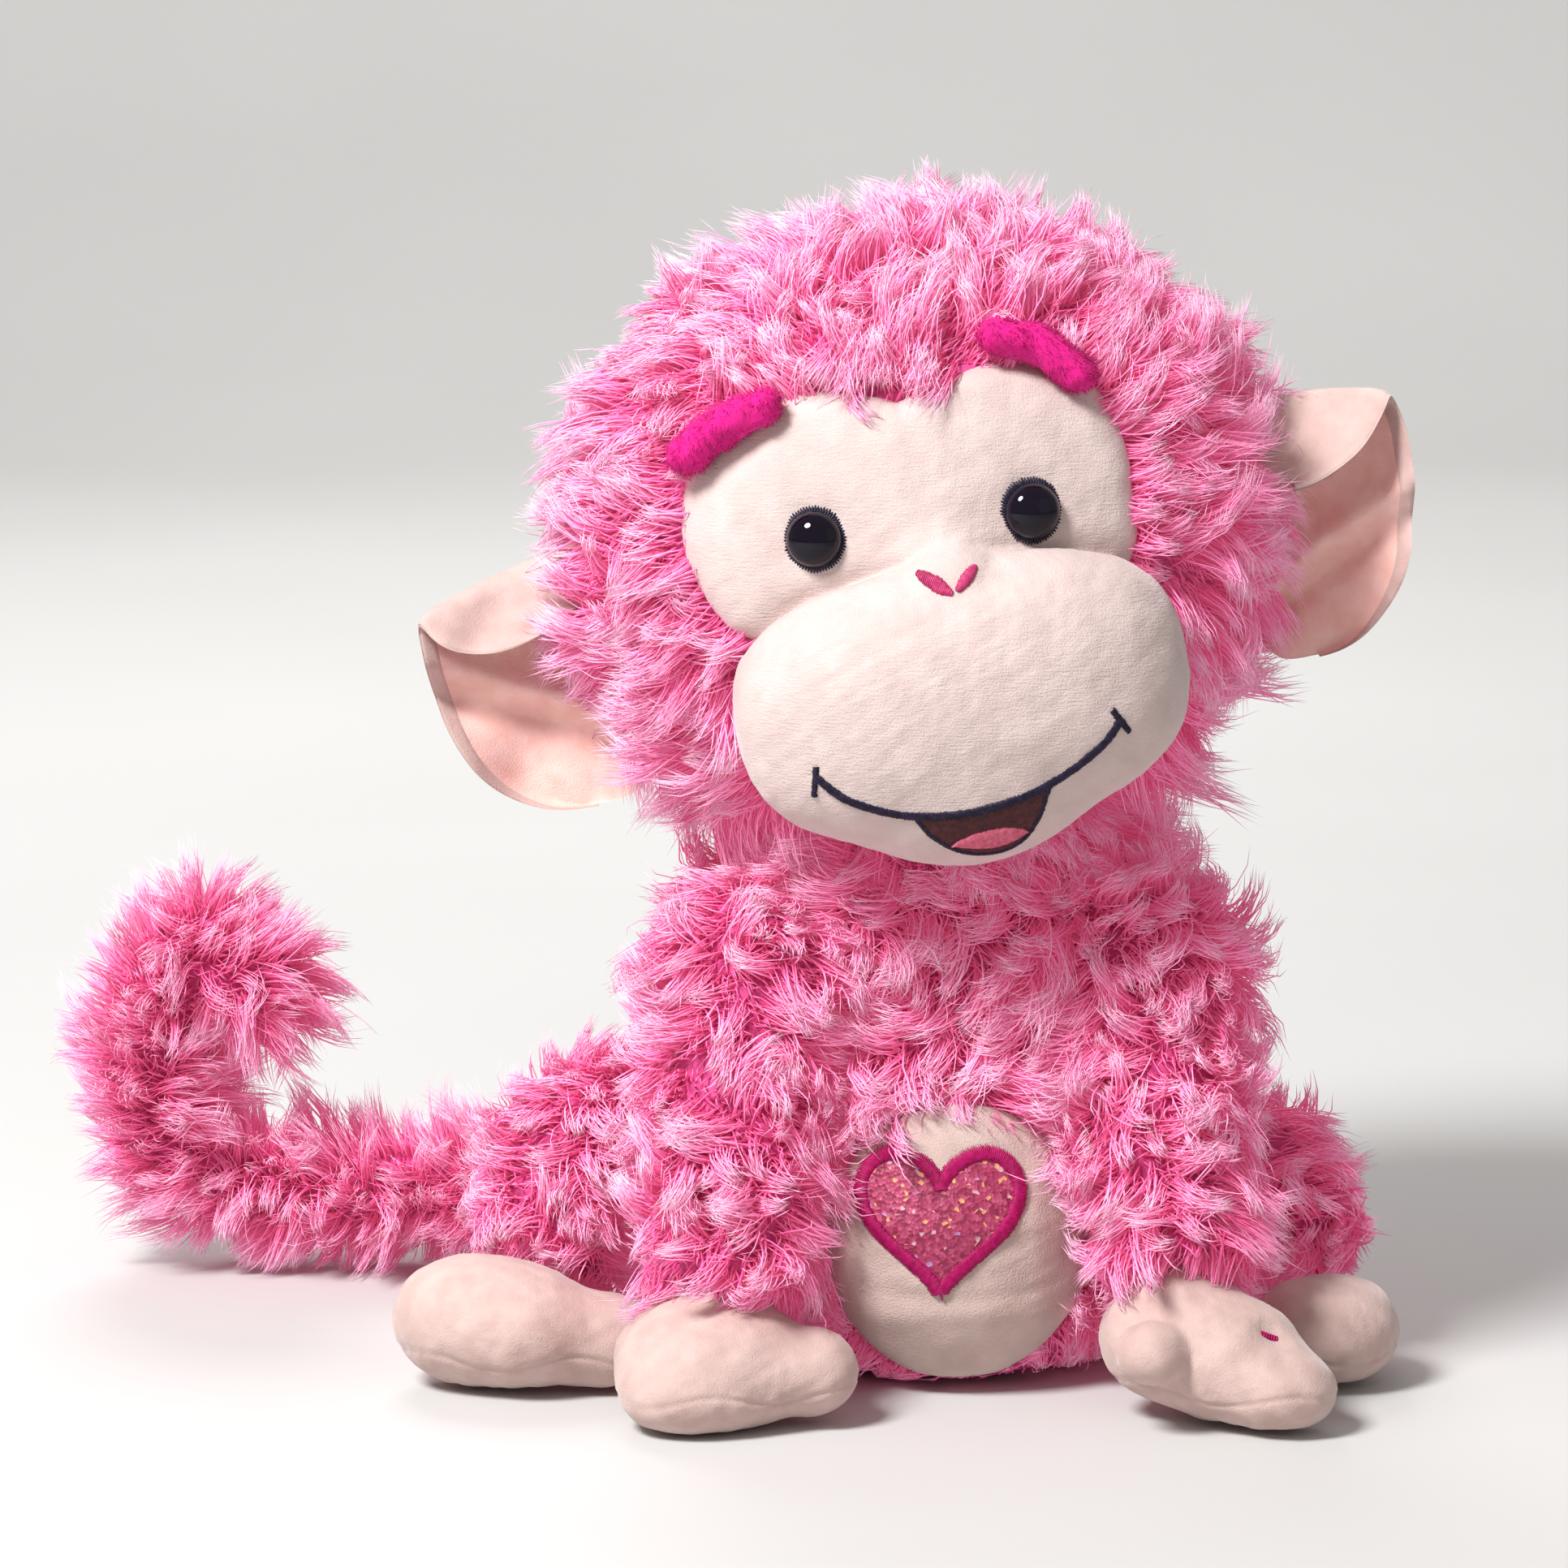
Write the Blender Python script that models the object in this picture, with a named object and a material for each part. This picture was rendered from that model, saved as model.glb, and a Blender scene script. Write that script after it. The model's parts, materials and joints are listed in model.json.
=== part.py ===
"""Plush monkey that sits on its seat, with both hands resting on the ground in front of it.

Lengths are in millimetres and become metres when a mesh is made. The origin is on the ground
under the middle of the seat, +Z is up, and the monkey faces -Y, so its own right side is at -X.
Left and right in the names are those of someone who looks at its face.

Every furry cover is as thick as its backing and dense pile together. Each limb starts in a
round root whose centre is its joint, and the root sits in a round socket of its neighbour.
"""
import math

import bmesh
import bpy
from mathutils import Euler, Vector

MM = 0.001

# Fabric and clearances
FUR_WALL = 4.0
FELT_WALL = 2.0
GAP = 0.6
STUFFING_GAP = 1.8
SOCKET_GAP = 2.0
ROOT_GAP = 1.0

# Body: height, half width, reach to the front, reach to the back
BODY_CENTRE = Vector((-3.0, 3.0, 0.0))
BODY_STATIONS = (
    (0.0, 36.0, 40.0, 38.0),
    (5.0, 45.0, 50.0, 47.0),
    (20.0, 51.0, 56.0, 54.0),
    (40.0, 51.0, 57.0, 54.0),
    (60.0, 46.0, 52.0, 49.0),
    (80.0, 40.0, 44.0, 43.0),
    (96.0, 33.0, 35.0, 35.0),
    (106.0, 25.0, 26.0, 26.0),
)
BODY_SIDES = 20
PELLET_FLOOR = 5.0
PELLET_TOP = 19.0
PELLET_HALF = (30.0, 36.0)
PELLET_LEVELS = (-0.9, -0.4, 0.4, 0.9)
PELLET_TAPER = 0.6
STUFFING_HEIGHTS = (21.0, 40.0, 60.0, 80.0, 96.0)
STUFFING_INSET = 8.0

# Belly patch and heart
PATCH_CENTRE_Z = 35.0
PATCH_HALF = (27.0, 29.0)
PATCH_OFFSETS = (0.8, 2.6)
HEART_CENTRE = (-4.5, 41.0)
HEART_WIDTH = 35.0
HEART_HEIGHT = 33.0
HEART_BORDER = 2.6
HEART_MARGIN = 0.5
HEART_FILL_THICKNESS = 0.8
HEART_BORDER_THICKNESS = 1.4

# Rings of a sewn plate, as shares of its size from the rim inward
FINE_PLATE = (1.0, 0.75, 0.5, 0.25)
PLATE = (1.0, 0.66, 0.33)
SMALL_PLATE = (1.0, 0.5)

# Neck and head
NECK_PIVOT = Vector((-2.0, 2.0, 116.0))
NECK_BALL = 14.0
NECK_SLEEVE = (15.8, 19.2)
NECK_SLEEVE_SPAN = (42.0, 66.0, 90.0, 114.0, 138.0)
NECK_SOCKET = 21.0
HEAD_CENTRE = Vector((-9.0, -5.0, 189.0))
HEAD_ROLL = math.radians(-11.0)
HEAD_YAW = math.radians(3.0)
HEAD_HALF_WIDTH = 78.0
HEAD_HALF_HEIGHT = 69.0
HEAD_FRONT = 62.0
HEAD_BACK = 66.0
FACE_OPENING = 0.66
STUFFING_OPENING = 0.2
HEAD_FORM_ENDS = (0.52, 0.36, 0.18)
HEAD_SIDES = 20
HEAD_ROWS = 8

# Face patch, dished over the front of the head
FACE_HALF = (45.5, 39.5)
FACE_FRONT = 60.0
FACE_DISH = 10.0
FACE_PEAK = 0.10
FACE_PEAK_WIDTH = 0.3

# Eyes
EYE_SPACING = 48.0
EYE_HEIGHT = 7.0
EYE_RADIUS = 6.0
EYE_DOME = 4.4
EYE_LIFT = 2.2
EYE_LEVELS = (70.0, 48.0, 25.0, 0.0)
SHANK_RADIUS = 1.3
SHANK_LENGTH = 10.0
SHANK_ROOM = 0.4
SHANK_HOLE_TOP = 4.0
WASHER_RADIUS = 5.0
WASHER_THICKNESS = 1.0
WASHER_POCKET_DEPTH = 6.0
WASHER_POCKET_RADIUS = 9.0
BACKING_HALF = (6.9, 7.3)
BACKING_THICKNESS = 0.9

# Muzzle
MUZZLE_CENTRE = Vector((0.0, -52.0, -30.0))
MUZZLE_HALF = Vector((49.5, 29.0, 31.0))
MUZZLE_FULLNESS = 2.5
MOUTH_HALF_WIDTH = 33.0
MOUTH_LOW = -48.5
MOUTH_RISE = 9.0
MOUTH_THREAD = 1.6
OPEN_MOUTH_HALF = 15.0
OPEN_MOUTH_DROP = 9.5
OPEN_MOUTH_MARGIN = 0.5
OPEN_MOUTH_MIDDLE = 0.45
TONGUE_MIDDLE = 0.68
TONGUE_HALF = (7.5, 2.2)
MOUTH_LINE_OFFSETS = (0.4, 1.1)
MOUTH_FILL_OFFSETS = (0.4, 0.9)
TONGUE_OFFSETS = (1.3, 1.8)

# Nostrils
NOSTRIL_PLACE = (3.6, -4.0)
NOSTRIL_HALF = (3.6, 1.5)
NOSTRIL_TILT = math.radians(42.0)
NOSTRIL_OFFSETS = (0.4, 1.4)

# Brows and ears
BROW_PLACE = (35.0, 37.0)
BROW_LENGTH = 26.0
BROW_RADIUS = 4.4
BROW_SLOPE = math.radians(32.0)
BROW_LIFT = 1.6
BROW_BEND = 1.8
BROW_SHARES = (-0.93, -0.7, -0.35, 0.0, 0.35, 0.7, 0.93)
EAR_ROOT = Vector((82.0, 0.0, -19.0))
EAR_HALF_HEIGHT = 29.0
EAR_REACH = 36.0
EAR_CUP = 9.0
EAR_CUP_HEIGHT_SHARE = 0.7
EAR_MIDDLE = 0.4
EAR_PLATE_MIDDLE = 0.45
EAR_LAYER = 2.0

# Arms and hands: the sleeve stops short of the wrist, and the hand's round root fills its end
ARM_RADIUS = 18.0
SHOULDERS = {"left": Vector((-46.0, -24.0, 86.0)), "right": Vector((41.0, -24.0, 86.0))}
WRISTS = {"left": Vector((-52.0, -64.0, 26.0)), "right": Vector((47.0, -64.0, 26.0))}
ARM_STRAIGHT_SHARE = 0.8
SLEEVE_STOP = 6.0
ROOT_RADIUS = 11.5
ROOT_OPENING = 24.0
HAND_CENTRES = {"left": Vector((-52.0, -67.0, 13.0)), "right": Vector((51.0, -67.0, 13.0))}
HAND_BALLS = {
    "left": (((-55.0, -68.0, 12.8), (21.0, 17.0, 12.2)), ((-36.0, -68.0, 10.6), (13.0, 10.0, 9.0))),
    "right": (((57.0, -68.0, 12.8), (23.0, 17.0, 12.2)), ((42.0, -68.0, 15.0), (12.0, 11.0, 12.0))),
}
TACK_PLACE = Vector((64.0, -68.0, 0.0))
TACK_LIFT = 2.0
TACK_SPANS = (-2.2, -1.6, 1.6, 2.2)
TACK_RADII = (0.4, 0.7, 0.7, 0.4)

# Legs and feet: the leg's middle line is a curve from hip to ankle that is drawn toward the knee
LEG_RADII = (21.0, 22.0, 19.0, 16.5)
LEG_SHARES = (0.0, 0.3, 0.6)
HIPS = {"left": Vector((-56.0, 14.0, 34.0)), "right": Vector((52.0, 16.0, 34.0))}
KNEES = {"left": Vector((-86.0, 1.0, 43.0)), "right": Vector((74.0, 6.0, 42.0))}
ANKLES = {"left": Vector((-93.0, -16.0, 24.0)), "right": Vector((79.0, -10.0, 24.0))}
FOOT_CENTRES = {"left": Vector((-98.0, -27.0, 16.0)), "right": Vector((80.0, -20.0, 15.0))}
FOOT_BALLS = {
    "left": (((-97.0, -36.0, 15.0), (16.0, 17.0, 13.6)), ((-108.0, -27.0, 15.0), (15.0, 17.0, 13.6))),
    "right": (((79.0, -24.0, 14.0), (17.0, 18.0, 12.6)), ((85.0, -21.0, 13.0), (11.0, 14.0, 11.6))),
}

# Tail: each piece's joint, then the points that its middle line bends through
TAIL_RADIUS = 11.5
TAIL_FLARE = 9.0
TAIL_STOP = 3.0
TAIL_FILLING_LEAST = 1.2
TAIL_SWING_ROOM = 22.0
TAIL_NAMES = ("base", "middle", "rise", "tip")
TAIL_JOINTS = (
    Vector((-22.0, 52.0, 24.0)),
    Vector((-76.0, 75.0, 19.0)),
    Vector((-154.0, 77.0, 19.0)),
    Vector((-186.0, 76.0, 47.0)),
)
TAIL_BENDS = {
    "base": (Vector((-50.0, 65.5, 20.5)),),
    "middle": (Vector((-115.0, 77.0, 19.0)),),
    "rise": (Vector((-173.0, 77.0, 23.0)), Vector((-184.5, 76.4, 34.0))),
    "tip": (Vector((-181.5, 74.6, 66.0)),),
}
TAIL_END = Vector((-171.0, 72.0, 75.0))

PINK_FUR = (0.86, 0.24, 0.46)
CREAM = (0.93, 0.78, 0.73)
PEACH = (0.93, 0.58, 0.50)
MAGENTA = (0.72, 0.01, 0.24)
NAVY = (0.02, 0.02, 0.06)
MAROON = (0.10, 0.02, 0.02)
TONGUE_PINK = (0.72, 0.10, 0.20)
ROSE = (0.70, 0.08, 0.20)
FIBRE = (0.90, 0.90, 0.88)
BLACK = (0.01, 0.01, 0.012)

# How smoothly the balls of a hand or foot join, and how closely their surface is found
BALL_SOFTNESS = 2.0
LONGEST_REACH = 60.0
HALVINGS = 24

SIDES = (("left", -1.0), ("right", 1.0))


def clear_scene():
    for item in list(bpy.data.objects):
        bpy.data.objects.remove(item, do_unlink=True)


def make_material(name, colour, roughness):
    material = bpy.data.materials.new(name)
    material.use_nodes = True
    shader = material.node_tree.nodes["Principled BSDF"]
    shader.inputs["Base Color"].default_value = (*colour, 1.0)
    shader.inputs["Roughness"].default_value = roughness
    shader.inputs["Metallic"].default_value = 0.0
    return material


def make_frame(name, place, parent=None, turn=None):
    """An empty at a joint, or at the middle of the head, that its pieces hang from."""
    frame = bpy.data.objects.new(name, None)
    frame.parent = parent
    frame.location = place * MM
    if turn is not None:
        frame.rotation_euler = turn
    bpy.context.collection.objects.link(frame)
    return frame


def make_object(name, bm, frame, colour, roughness=0.9):
    bmesh.ops.recalc_face_normals(bm, faces=bm.faces)
    bmesh.ops.scale(bm, vec=(MM, MM, MM), verts=bm.verts)
    mesh = bpy.data.meshes.new(name)
    bm.to_mesh(mesh)
    bm.free()
    mesh.shade_smooth()
    mesh.materials.append(make_material(name, colour, roughness))
    item = bpy.data.objects.new(name, mesh)
    item.parent = frame
    bpy.context.collection.objects.link(item)
    return item


def thicken(item, wall):
    shell = item.modifiers.new("Wall", "SOLIDIFY")
    shell.thickness = wall * MM
    shell.offset = -1.0
    shell.use_even_offset = True
    return item


def cut(item, cutters):
    for cutter in cutters:
        boolean = item.modifiers.new("Cut", "BOOLEAN")
        boolean.operation = "DIFFERENCE"
        boolean.solver = "EXACT"
        boolean.object = cutter


def make_cutter(name, bm, frame):
    cutter = make_object(name, bm, frame, NAVY)
    cutter.hide_render = True
    cutter.display_type = "WIRE"
    return cutter


def loft(rings, start=None, end=None, closed=False):
    """Skin rings of equal count. start and end are a point, "flat" or None for an opening."""
    bm = bmesh.new()
    loops = [[bm.verts.new(point) for point in ring] for ring in rings]
    pairs = list(zip(loops, loops[1:]))
    if closed:
        pairs.append((loops[-1], loops[0]))
    for near, far in pairs:
        for index, vert in enumerate(near):
            after = (index + 1) % len(near)
            bm.faces.new((vert, near[after], far[after], far[index]))
    for cap, loop in ((start, loops[0]), (end, loops[-1])):
        if cap is None:
            continue
        if isinstance(cap, str):
            bm.faces.new(loop)
            continue
        tip = bm.verts.new(cap)
        for index, vert in enumerate(loop):
            bm.faces.new((vert, loop[(index + 1) % len(loop)], tip))
    return bm


def circle_angles(sides):
    return [2.0 * math.pi * step / sides for step in range(sides)]


def ball_mesh(centre, radius, sides=12, rows=8):
    rings = []
    for row in range(1, rows):
        polar = math.pi * row / rows
        level = centre.z + radius * math.cos(polar)
        wide = radius * math.sin(polar)
        rings.append([Vector((centre.x + wide * math.cos(a), centre.y + wide * math.sin(a), level))
                      for a in circle_angles(sides)])
    top = centre + Vector((0.0, 0.0, radius))
    bottom = centre - Vector((0.0, 0.0, radius))
    return loft(rings, top, bottom)


def lathe_rings(profile, sides):
    """Rings about Z for a profile of (radius, height) points."""
    return [[Vector((radius * math.cos(a), radius * math.sin(a), height)) for a in circle_angles(sides)]
            for radius, height in profile]


def tube_rings(points, radii, sides=12):
    """Rings square to a path. Each ring turns as little as possible from the one before it."""
    rings = []
    first = (points[1] - points[0]).normalized()
    normal = first.orthogonal().normalized()
    for index, point in enumerate(points):
        before = points[max(index - 1, 0)]
        after = points[min(index + 1, len(points) - 1)]
        tangent = (after - before).normalized()
        normal = (normal - tangent * normal.dot(tangent)).normalized()
        across = tangent.cross(normal)
        rings.append([point + (normal * math.cos(a) + across * math.sin(a)) * radii[index]
                      for a in circle_angles(sides)])
    return rings


def rounded_start(points, radii, degrees=(60.0, 30.0)):
    """Add a half ball before the first point, so that a limb can turn about that point."""
    tangent = (points[1] - points[0]).normalized()
    radius = radii[0]
    front = [points[0] - tangent * radius * math.sin(math.radians(a)) for a in degrees]
    small = [radius * math.cos(math.radians(a)) for a in degrees]
    return points[0] - tangent * radius, front + list(points), small + list(radii)


def rounded_tube(points, radii, end, sides=12):
    pole, path, sizes = rounded_start(points, radii)
    return loft(tube_rings(path, sizes, sides), pole, end)


def along(start, end, distance):
    return start + (end - start).normalized() * distance


def stop_before(start, end, distance):
    return end - (end - start).normalized() * distance


# Surfaces that patches and stitching lie on

def body_half(height, inset=0.0):
    """Half width, front reach and back reach of the body at a height."""
    for low, high in zip(BODY_STATIONS, BODY_STATIONS[1:]):
        if height <= high[0]:
            break
    share = (height - low[0]) / (high[0] - low[0])
    return [a + (b - a) * share - inset for a, b in zip(low[1:], high[1:])]


def body_ring(height, inset=0.0):
    half, front, back = body_half(height, inset)
    ring = []
    for angle in circle_angles(BODY_SIDES):
        reach = back if math.cos(angle) > 0.0 else front
        ring.append(BODY_CENTRE + Vector((half * math.sin(angle), reach * math.cos(angle), height)))
    return ring


def belly_point(x, z, offset):
    """A point in front of the body's surface, at a distance from it."""
    half, front, _ = body_half(z)
    across = (x - BODY_CENTRE.x) / half
    depth = math.sqrt(1.0 - across * across)
    outward = Vector((across / half, -depth / front, 0.0)).normalized()
    return Vector((x, BODY_CENTRE.y - front * depth, z)) + outward * offset


def face_point(x, z, offset):
    share = (x / FACE_HALF[0]) ** 2 + (z / FACE_HALF[1]) ** 2
    slope = Vector((2.0 * FACE_DISH * x / FACE_HALF[0] ** 2, -1.0, 2.0 * FACE_DISH * z / FACE_HALF[1] ** 2))
    return Vector((x, FACE_DISH * share - FACE_FRONT, z)) + slope.normalized() * offset


def muzzle_point(x, z, offset):
    """A point in front of the muzzle's surface. The muzzle is an ellipsoid with fuller sides."""
    place = Vector((x, 0.0, z)) - MUZZLE_CENTRE
    across, up = place.x / MUZZLE_HALF.x, place.z / MUZZLE_HALF.z
    share = abs(across) ** MUZZLE_FULLNESS + abs(up) ** MUZZLE_FULLNESS
    depth = max(1.0 - share, 0.02) ** (1.0 / MUZZLE_FULLNESS)
    steep = [math.copysign(abs(value) ** (MUZZLE_FULLNESS - 1.0), value) for value in (across, -depth, up)]
    outward = Vector([value / half for value, half in zip(steep, MUZZLE_HALF)]).normalized()
    return Vector((x, MUZZLE_CENTRE.y - MUZZLE_HALF.y * depth, z)) + outward * offset


def plate(surface, outline, centre, offsets, shares):
    """A patch with this outline, as rings that shrink to its centre on both sides."""
    low, high = offsets

    def ring(share, offset):
        return [surface(centre[0] + (x - centre[0]) * share, centre[1] + (z - centre[1]) * share, offset)
                for x, z in outline]

    rings = [ring(share, low) for share in reversed(shares)] + [ring(share, high) for share in shares]
    return loft(rings, surface(*centre, low), surface(*centre, high))


def ring_plate(surface, outline, inner, offsets):
    """A flat band between two outlines, lying on a surface."""
    low, high = offsets
    order = ((outline, low), (outline, high), (inner, high), (inner, low))
    rings = [[surface(x, z, offset) for x, z in shape] for shape, offset in order]
    return loft(rings, closed=True)


def ribbon(surface, line, width, offsets):
    """A thread of constant width that follows a line of (x, z) points on a surface."""
    low, high = offsets
    half = 0.5 * width
    rings = []
    for index, (x, z) in enumerate(line):
        before = Vector(line[max(index - 1, 0)])
        after = Vector(line[min(index + 1, len(line) - 1)])
        step = (after - before).normalized()
        side = Vector((-step.y, step.x)) * half
        rings.append([surface(x + side.x, z + side.y, low), surface(x - side.x, z - side.y, low),
                      surface(x - side.x, z - side.y, high), surface(x + side.x, z + side.y, high)])
    return loft(rings, "flat", "flat")


def oval(centre, half, turn=0.0, sides=16):
    points = []
    for angle in circle_angles(sides):
        x = half[0] * math.cos(angle)
        z = half[1] * math.sin(angle)
        points.append((centre[0] + x * math.cos(turn) - z * math.sin(turn),
                       centre[1] + x * math.sin(turn) + z * math.cos(turn)))
    return points


def heart_outline(inset, sides=28):
    """The usual heart curve, scaled to the sewn heart and drawn in by a margin."""
    points = []
    wide = HEART_WIDTH * 0.5 - inset
    tall = HEART_HEIGHT * 0.5 - inset
    for angle in circle_angles(sides):
        x = math.sin(angle) ** 3
        z = (13.0 * math.cos(angle) - 5.0 * math.cos(2.0 * angle) - 2.0 * math.cos(3.0 * angle)
             - math.cos(4.0 * angle) + 2.5) / 14.4
        points.append((HEART_CENTRE[0] + wide * x, HEART_CENTRE[1] + tall * z))
    return points


def face_outline(sides=24):
    """An oval whose top dips to a peak between two lobes."""
    points = []
    for angle in circle_angles(sides):
        peak = 1.0 - FACE_PEAK * math.exp(-((angle - 0.5 * math.pi) / FACE_PEAK_WIDTH) ** 2)
        points.append((FACE_HALF[0] * math.cos(angle) * peak, FACE_HALF[1] * math.sin(angle) * peak))
    return points


def smile_height(x):
    return MOUTH_LOW + MOUTH_RISE * (x / MOUTH_HALF_WIDTH) ** 2


# Rounded forms made of a few smoothly joined balls

def ball_depth(point, balls):
    """Signed distance to the joined balls, rounded off where two of them meet."""
    total = 0.0
    for centre, half in balls:
        local = point - Vector(centre)
        scaled = Vector([a / b for a, b in zip(local, half)])
        steep = Vector([a / (b * b) for a, b in zip(local, half)])
        distance = scaled.length * (scaled.length - 1.0) / max(steep.length, 1e-6)
        total += math.exp(-distance / BALL_SOFTNESS)
    return -BALL_SOFTNESS * math.log(total)


def reach_from(centre, direction, balls, inset):
    """Distance from the centre to the joined form's surface, found by halving."""
    low, high = 0.0, LONGEST_REACH
    for _ in range(HALVINGS):
        middle = 0.5 * (low + high)
        if ball_depth(centre + direction * middle, balls) < -inset:
            low = middle
        else:
            high = middle
    return low


def blob(centre, toward, balls, inset, opening=None, sides=12, rows=8):
    """A rounded form about a centre. An opening, in degrees, leaves it open toward a point."""
    axis = (toward - centre).normalized()
    side = axis.orthogonal().normalized()
    across = axis.cross(side)
    begin = math.radians(opening) if opening else math.pi / rows
    rings = []
    for row in range(rows):
        polar = begin + (math.pi - math.pi / rows - begin) * row / (rows - 1)
        ring = []
        for angle in circle_angles(sides):
            flat = side * math.cos(angle) + across * math.sin(angle)
            direction = axis * math.cos(polar) + flat * math.sin(polar)
            ring.append(centre + direction * reach_from(centre, direction, balls, inset))
        rings.append(ring)
    start = None if opening else centre + axis * reach_from(centre, axis, balls, inset)
    return loft(rings, start, centre - axis * reach_from(centre, -axis, balls, inset))


def shift(bm, offset):
    bmesh.ops.translate(bm, vec=offset, verts=bm.verts)
    return bm


# Body

def build_body(root, cutters):
    rings = [body_ring(station[0]) for station in BODY_STATIONS]
    cover = thicken(make_object("body_cover", loft(rings, "flat", None), root, PINK_FUR), FUR_WALL)
    cut(cover, cutters)
    stuffing = loft([body_ring(height, STUFFING_INSET) for height in STUFFING_HEIGHTS], "flat", "flat")
    cut(make_object("body_stuffing", stuffing, root, FIBRE), cutters)
    build_pellet_bag(root)


def build_pellet_bag(root):
    middle = 0.5 * (PELLET_FLOOR + PELLET_TOP)
    half_height = 0.5 * (PELLET_TOP - PELLET_FLOOR)
    rings = []
    for share in PELLET_LEVELS:
        swell = math.sqrt(1.0 - PELLET_TAPER * share * share)
        rings.append([Vector((x, y, middle + half_height * share)) + BODY_CENTRE
                      for x, y in oval((0.0, 0.0), [half * swell for half in PELLET_HALF])])
    bottom = BODY_CENTRE + Vector((0.0, 0.0, PELLET_FLOOR))
    top = BODY_CENTRE + Vector((0.0, 0.0, PELLET_TOP))
    make_object("pellet_bag", loft(rings, bottom, top), root, FIBRE)


def build_belly(root):
    centre = (BODY_CENTRE.x, PATCH_CENTRE_Z)
    outline = oval(centre, PATCH_HALF, sides=20)
    patch = plate(belly_point, outline, centre, PATCH_OFFSETS, FINE_PLATE)
    make_object("belly_patch", patch, root, CREAM)
    low = PATCH_OFFSETS[1] + GAP
    fill_offsets = (low, low + HEART_FILL_THICKNESS)
    fill_outline = heart_outline(HEART_BORDER + HEART_MARGIN)
    fill = plate(belly_point, fill_outline, HEART_CENTRE, fill_offsets, SMALL_PLATE)
    make_object("heart_fill", fill, root, ROSE, 0.5)
    border_offsets = (low, low + HEART_BORDER_THICKNESS)
    border = ring_plate(belly_point, heart_outline(0.0), heart_outline(HEART_BORDER), border_offsets)
    make_object("heart_border", border, root, MAGENTA, 0.5)


# Neck and head

def build_neck(pivot):
    make_object("neck_stuffing", ball_mesh(Vector(), NECK_BALL), pivot, FIBRE)
    inner, outer = NECK_SLEEVE
    polars = [math.radians(degrees) for degrees in NECK_SLEEVE_SPAN]
    profile = [(outer * math.sin(a), outer * math.cos(a)) for a in polars]
    profile += [(inner * math.sin(a), inner * math.cos(a)) for a in reversed(polars)]
    make_object("neck_sleeve", loft(lathe_rings(profile, 16), closed=True), pivot, PINK_FUR)


def head_rings(inset, last_share, front_inset=None):
    """Rings from the back of the head to the face opening, a share of its full size."""
    half_x = HEAD_HALF_WIDTH - inset
    half_z = HEAD_HALF_HEIGHT - inset
    front = HEAD_FRONT - (inset if front_inset is None else front_inset)
    back = HEAD_BACK - inset
    last = math.pi - math.asin(last_share)
    rings = []
    for row in range(1, HEAD_ROWS + 1):
        polar = last * row / HEAD_ROWS
        depth = back if math.cos(polar) > 0.0 else front
        wide = math.sin(polar)
        rings.append([Vector((half_x * wide * math.cos(a), depth * math.cos(polar),
                              half_z * wide * math.sin(a)))
                      for a in circle_angles(HEAD_SIDES)])
    return rings


def build_head(frame, neck_cutter, pocket_cutters):
    back = Vector((0.0, HEAD_BACK, 0.0))
    cover = make_object("head_cover", loft(head_rings(0.0, FACE_OPENING), back), frame, PINK_FUR)
    cut(thicken(cover, FUR_WALL), [neck_cutter])
    inset = FUR_WALL + STUFFING_GAP
    rings = head_rings(inset, STUFFING_OPENING, STUFFING_INSET)
    stuffing = loft(rings, back - Vector((0.0, inset, 0.0)), "flat")
    cut(make_object("head_stuffing", stuffing, frame, FIBRE), [neck_cutter] + pocket_cutters)


def build_face(frame, shank_cutters):
    patch = plate(face_point, face_outline(), (0.0, 0.0), (-FELT_WALL, 0.0), PLATE)
    cut(make_object("face_patch", patch, frame, CREAM), shank_cutters)


def eye_frame(frame, side, sign):
    """The middle of an eye on the face, with Z pointing straight out of the face there."""
    x = 0.5 * EYE_SPACING * sign
    outward = face_point(x, EYE_HEIGHT, 1.0) - face_point(x, EYE_HEIGHT, 0.0)
    turn = outward.to_track_quat("Z", "Y").to_euler()
    return make_frame("eye_" + side + "_axis", face_point(x, EYE_HEIGHT, 0.0), frame, turn)


def build_eye(frame, axis, side, sign, cutter):
    profile = [(EYE_RADIUS * math.cos(a), EYE_LIFT + EYE_DOME * math.sin(a))
               for a in (math.radians(degrees) for degrees in EYE_LEVELS)]
    profile += [(SHANK_RADIUS, EYE_LIFT), (SHANK_RADIUS, -SHANK_LENGTH)]
    rings = lathe_rings(profile, 16)
    dome = loft(rings, Vector((0.0, 0.0, EYE_LIFT + EYE_DOME)), "flat")
    make_object("eye_" + side, dome, axis, BLACK, 0.05)
    hole = SHANK_RADIUS + SHANK_ROOM
    front = -FELT_WALL - GAP
    back = front - WASHER_THICKNESS
    washer = [(hole, front), (WASHER_RADIUS, front), (WASHER_RADIUS, back), (hole, back)]
    make_object("eye_washer_" + side, loft(lathe_rings(washer, 16), closed=True), axis, FIBRE, 0.4)
    x = 0.5 * EYE_SPACING * sign
    outline = oval((x, EYE_HEIGHT), BACKING_HALF)
    disc = plate(face_point, outline, (x, EYE_HEIGHT), (GAP, GAP + BACKING_THICKNESS), SMALL_PLATE)
    cut(make_object("eye_backing_" + side, disc, frame, NAVY, 0.6), [cutter])


def eye_cutters(axis, side):
    hole = SHANK_RADIUS + SHANK_ROOM
    shank = loft(lathe_rings([(hole, SHANK_HOLE_TOP), (hole, -SHANK_LENGTH)], 8), "flat", "flat")
    pocket = ball_mesh(Vector((0.0, 0.0, -WASHER_POCKET_DEPTH)), WASHER_POCKET_RADIUS, 10, 6)
    return (make_cutter("shank_hole_" + side, shank, axis),
            make_cutter("washer_pocket_" + side, pocket, axis))


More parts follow.
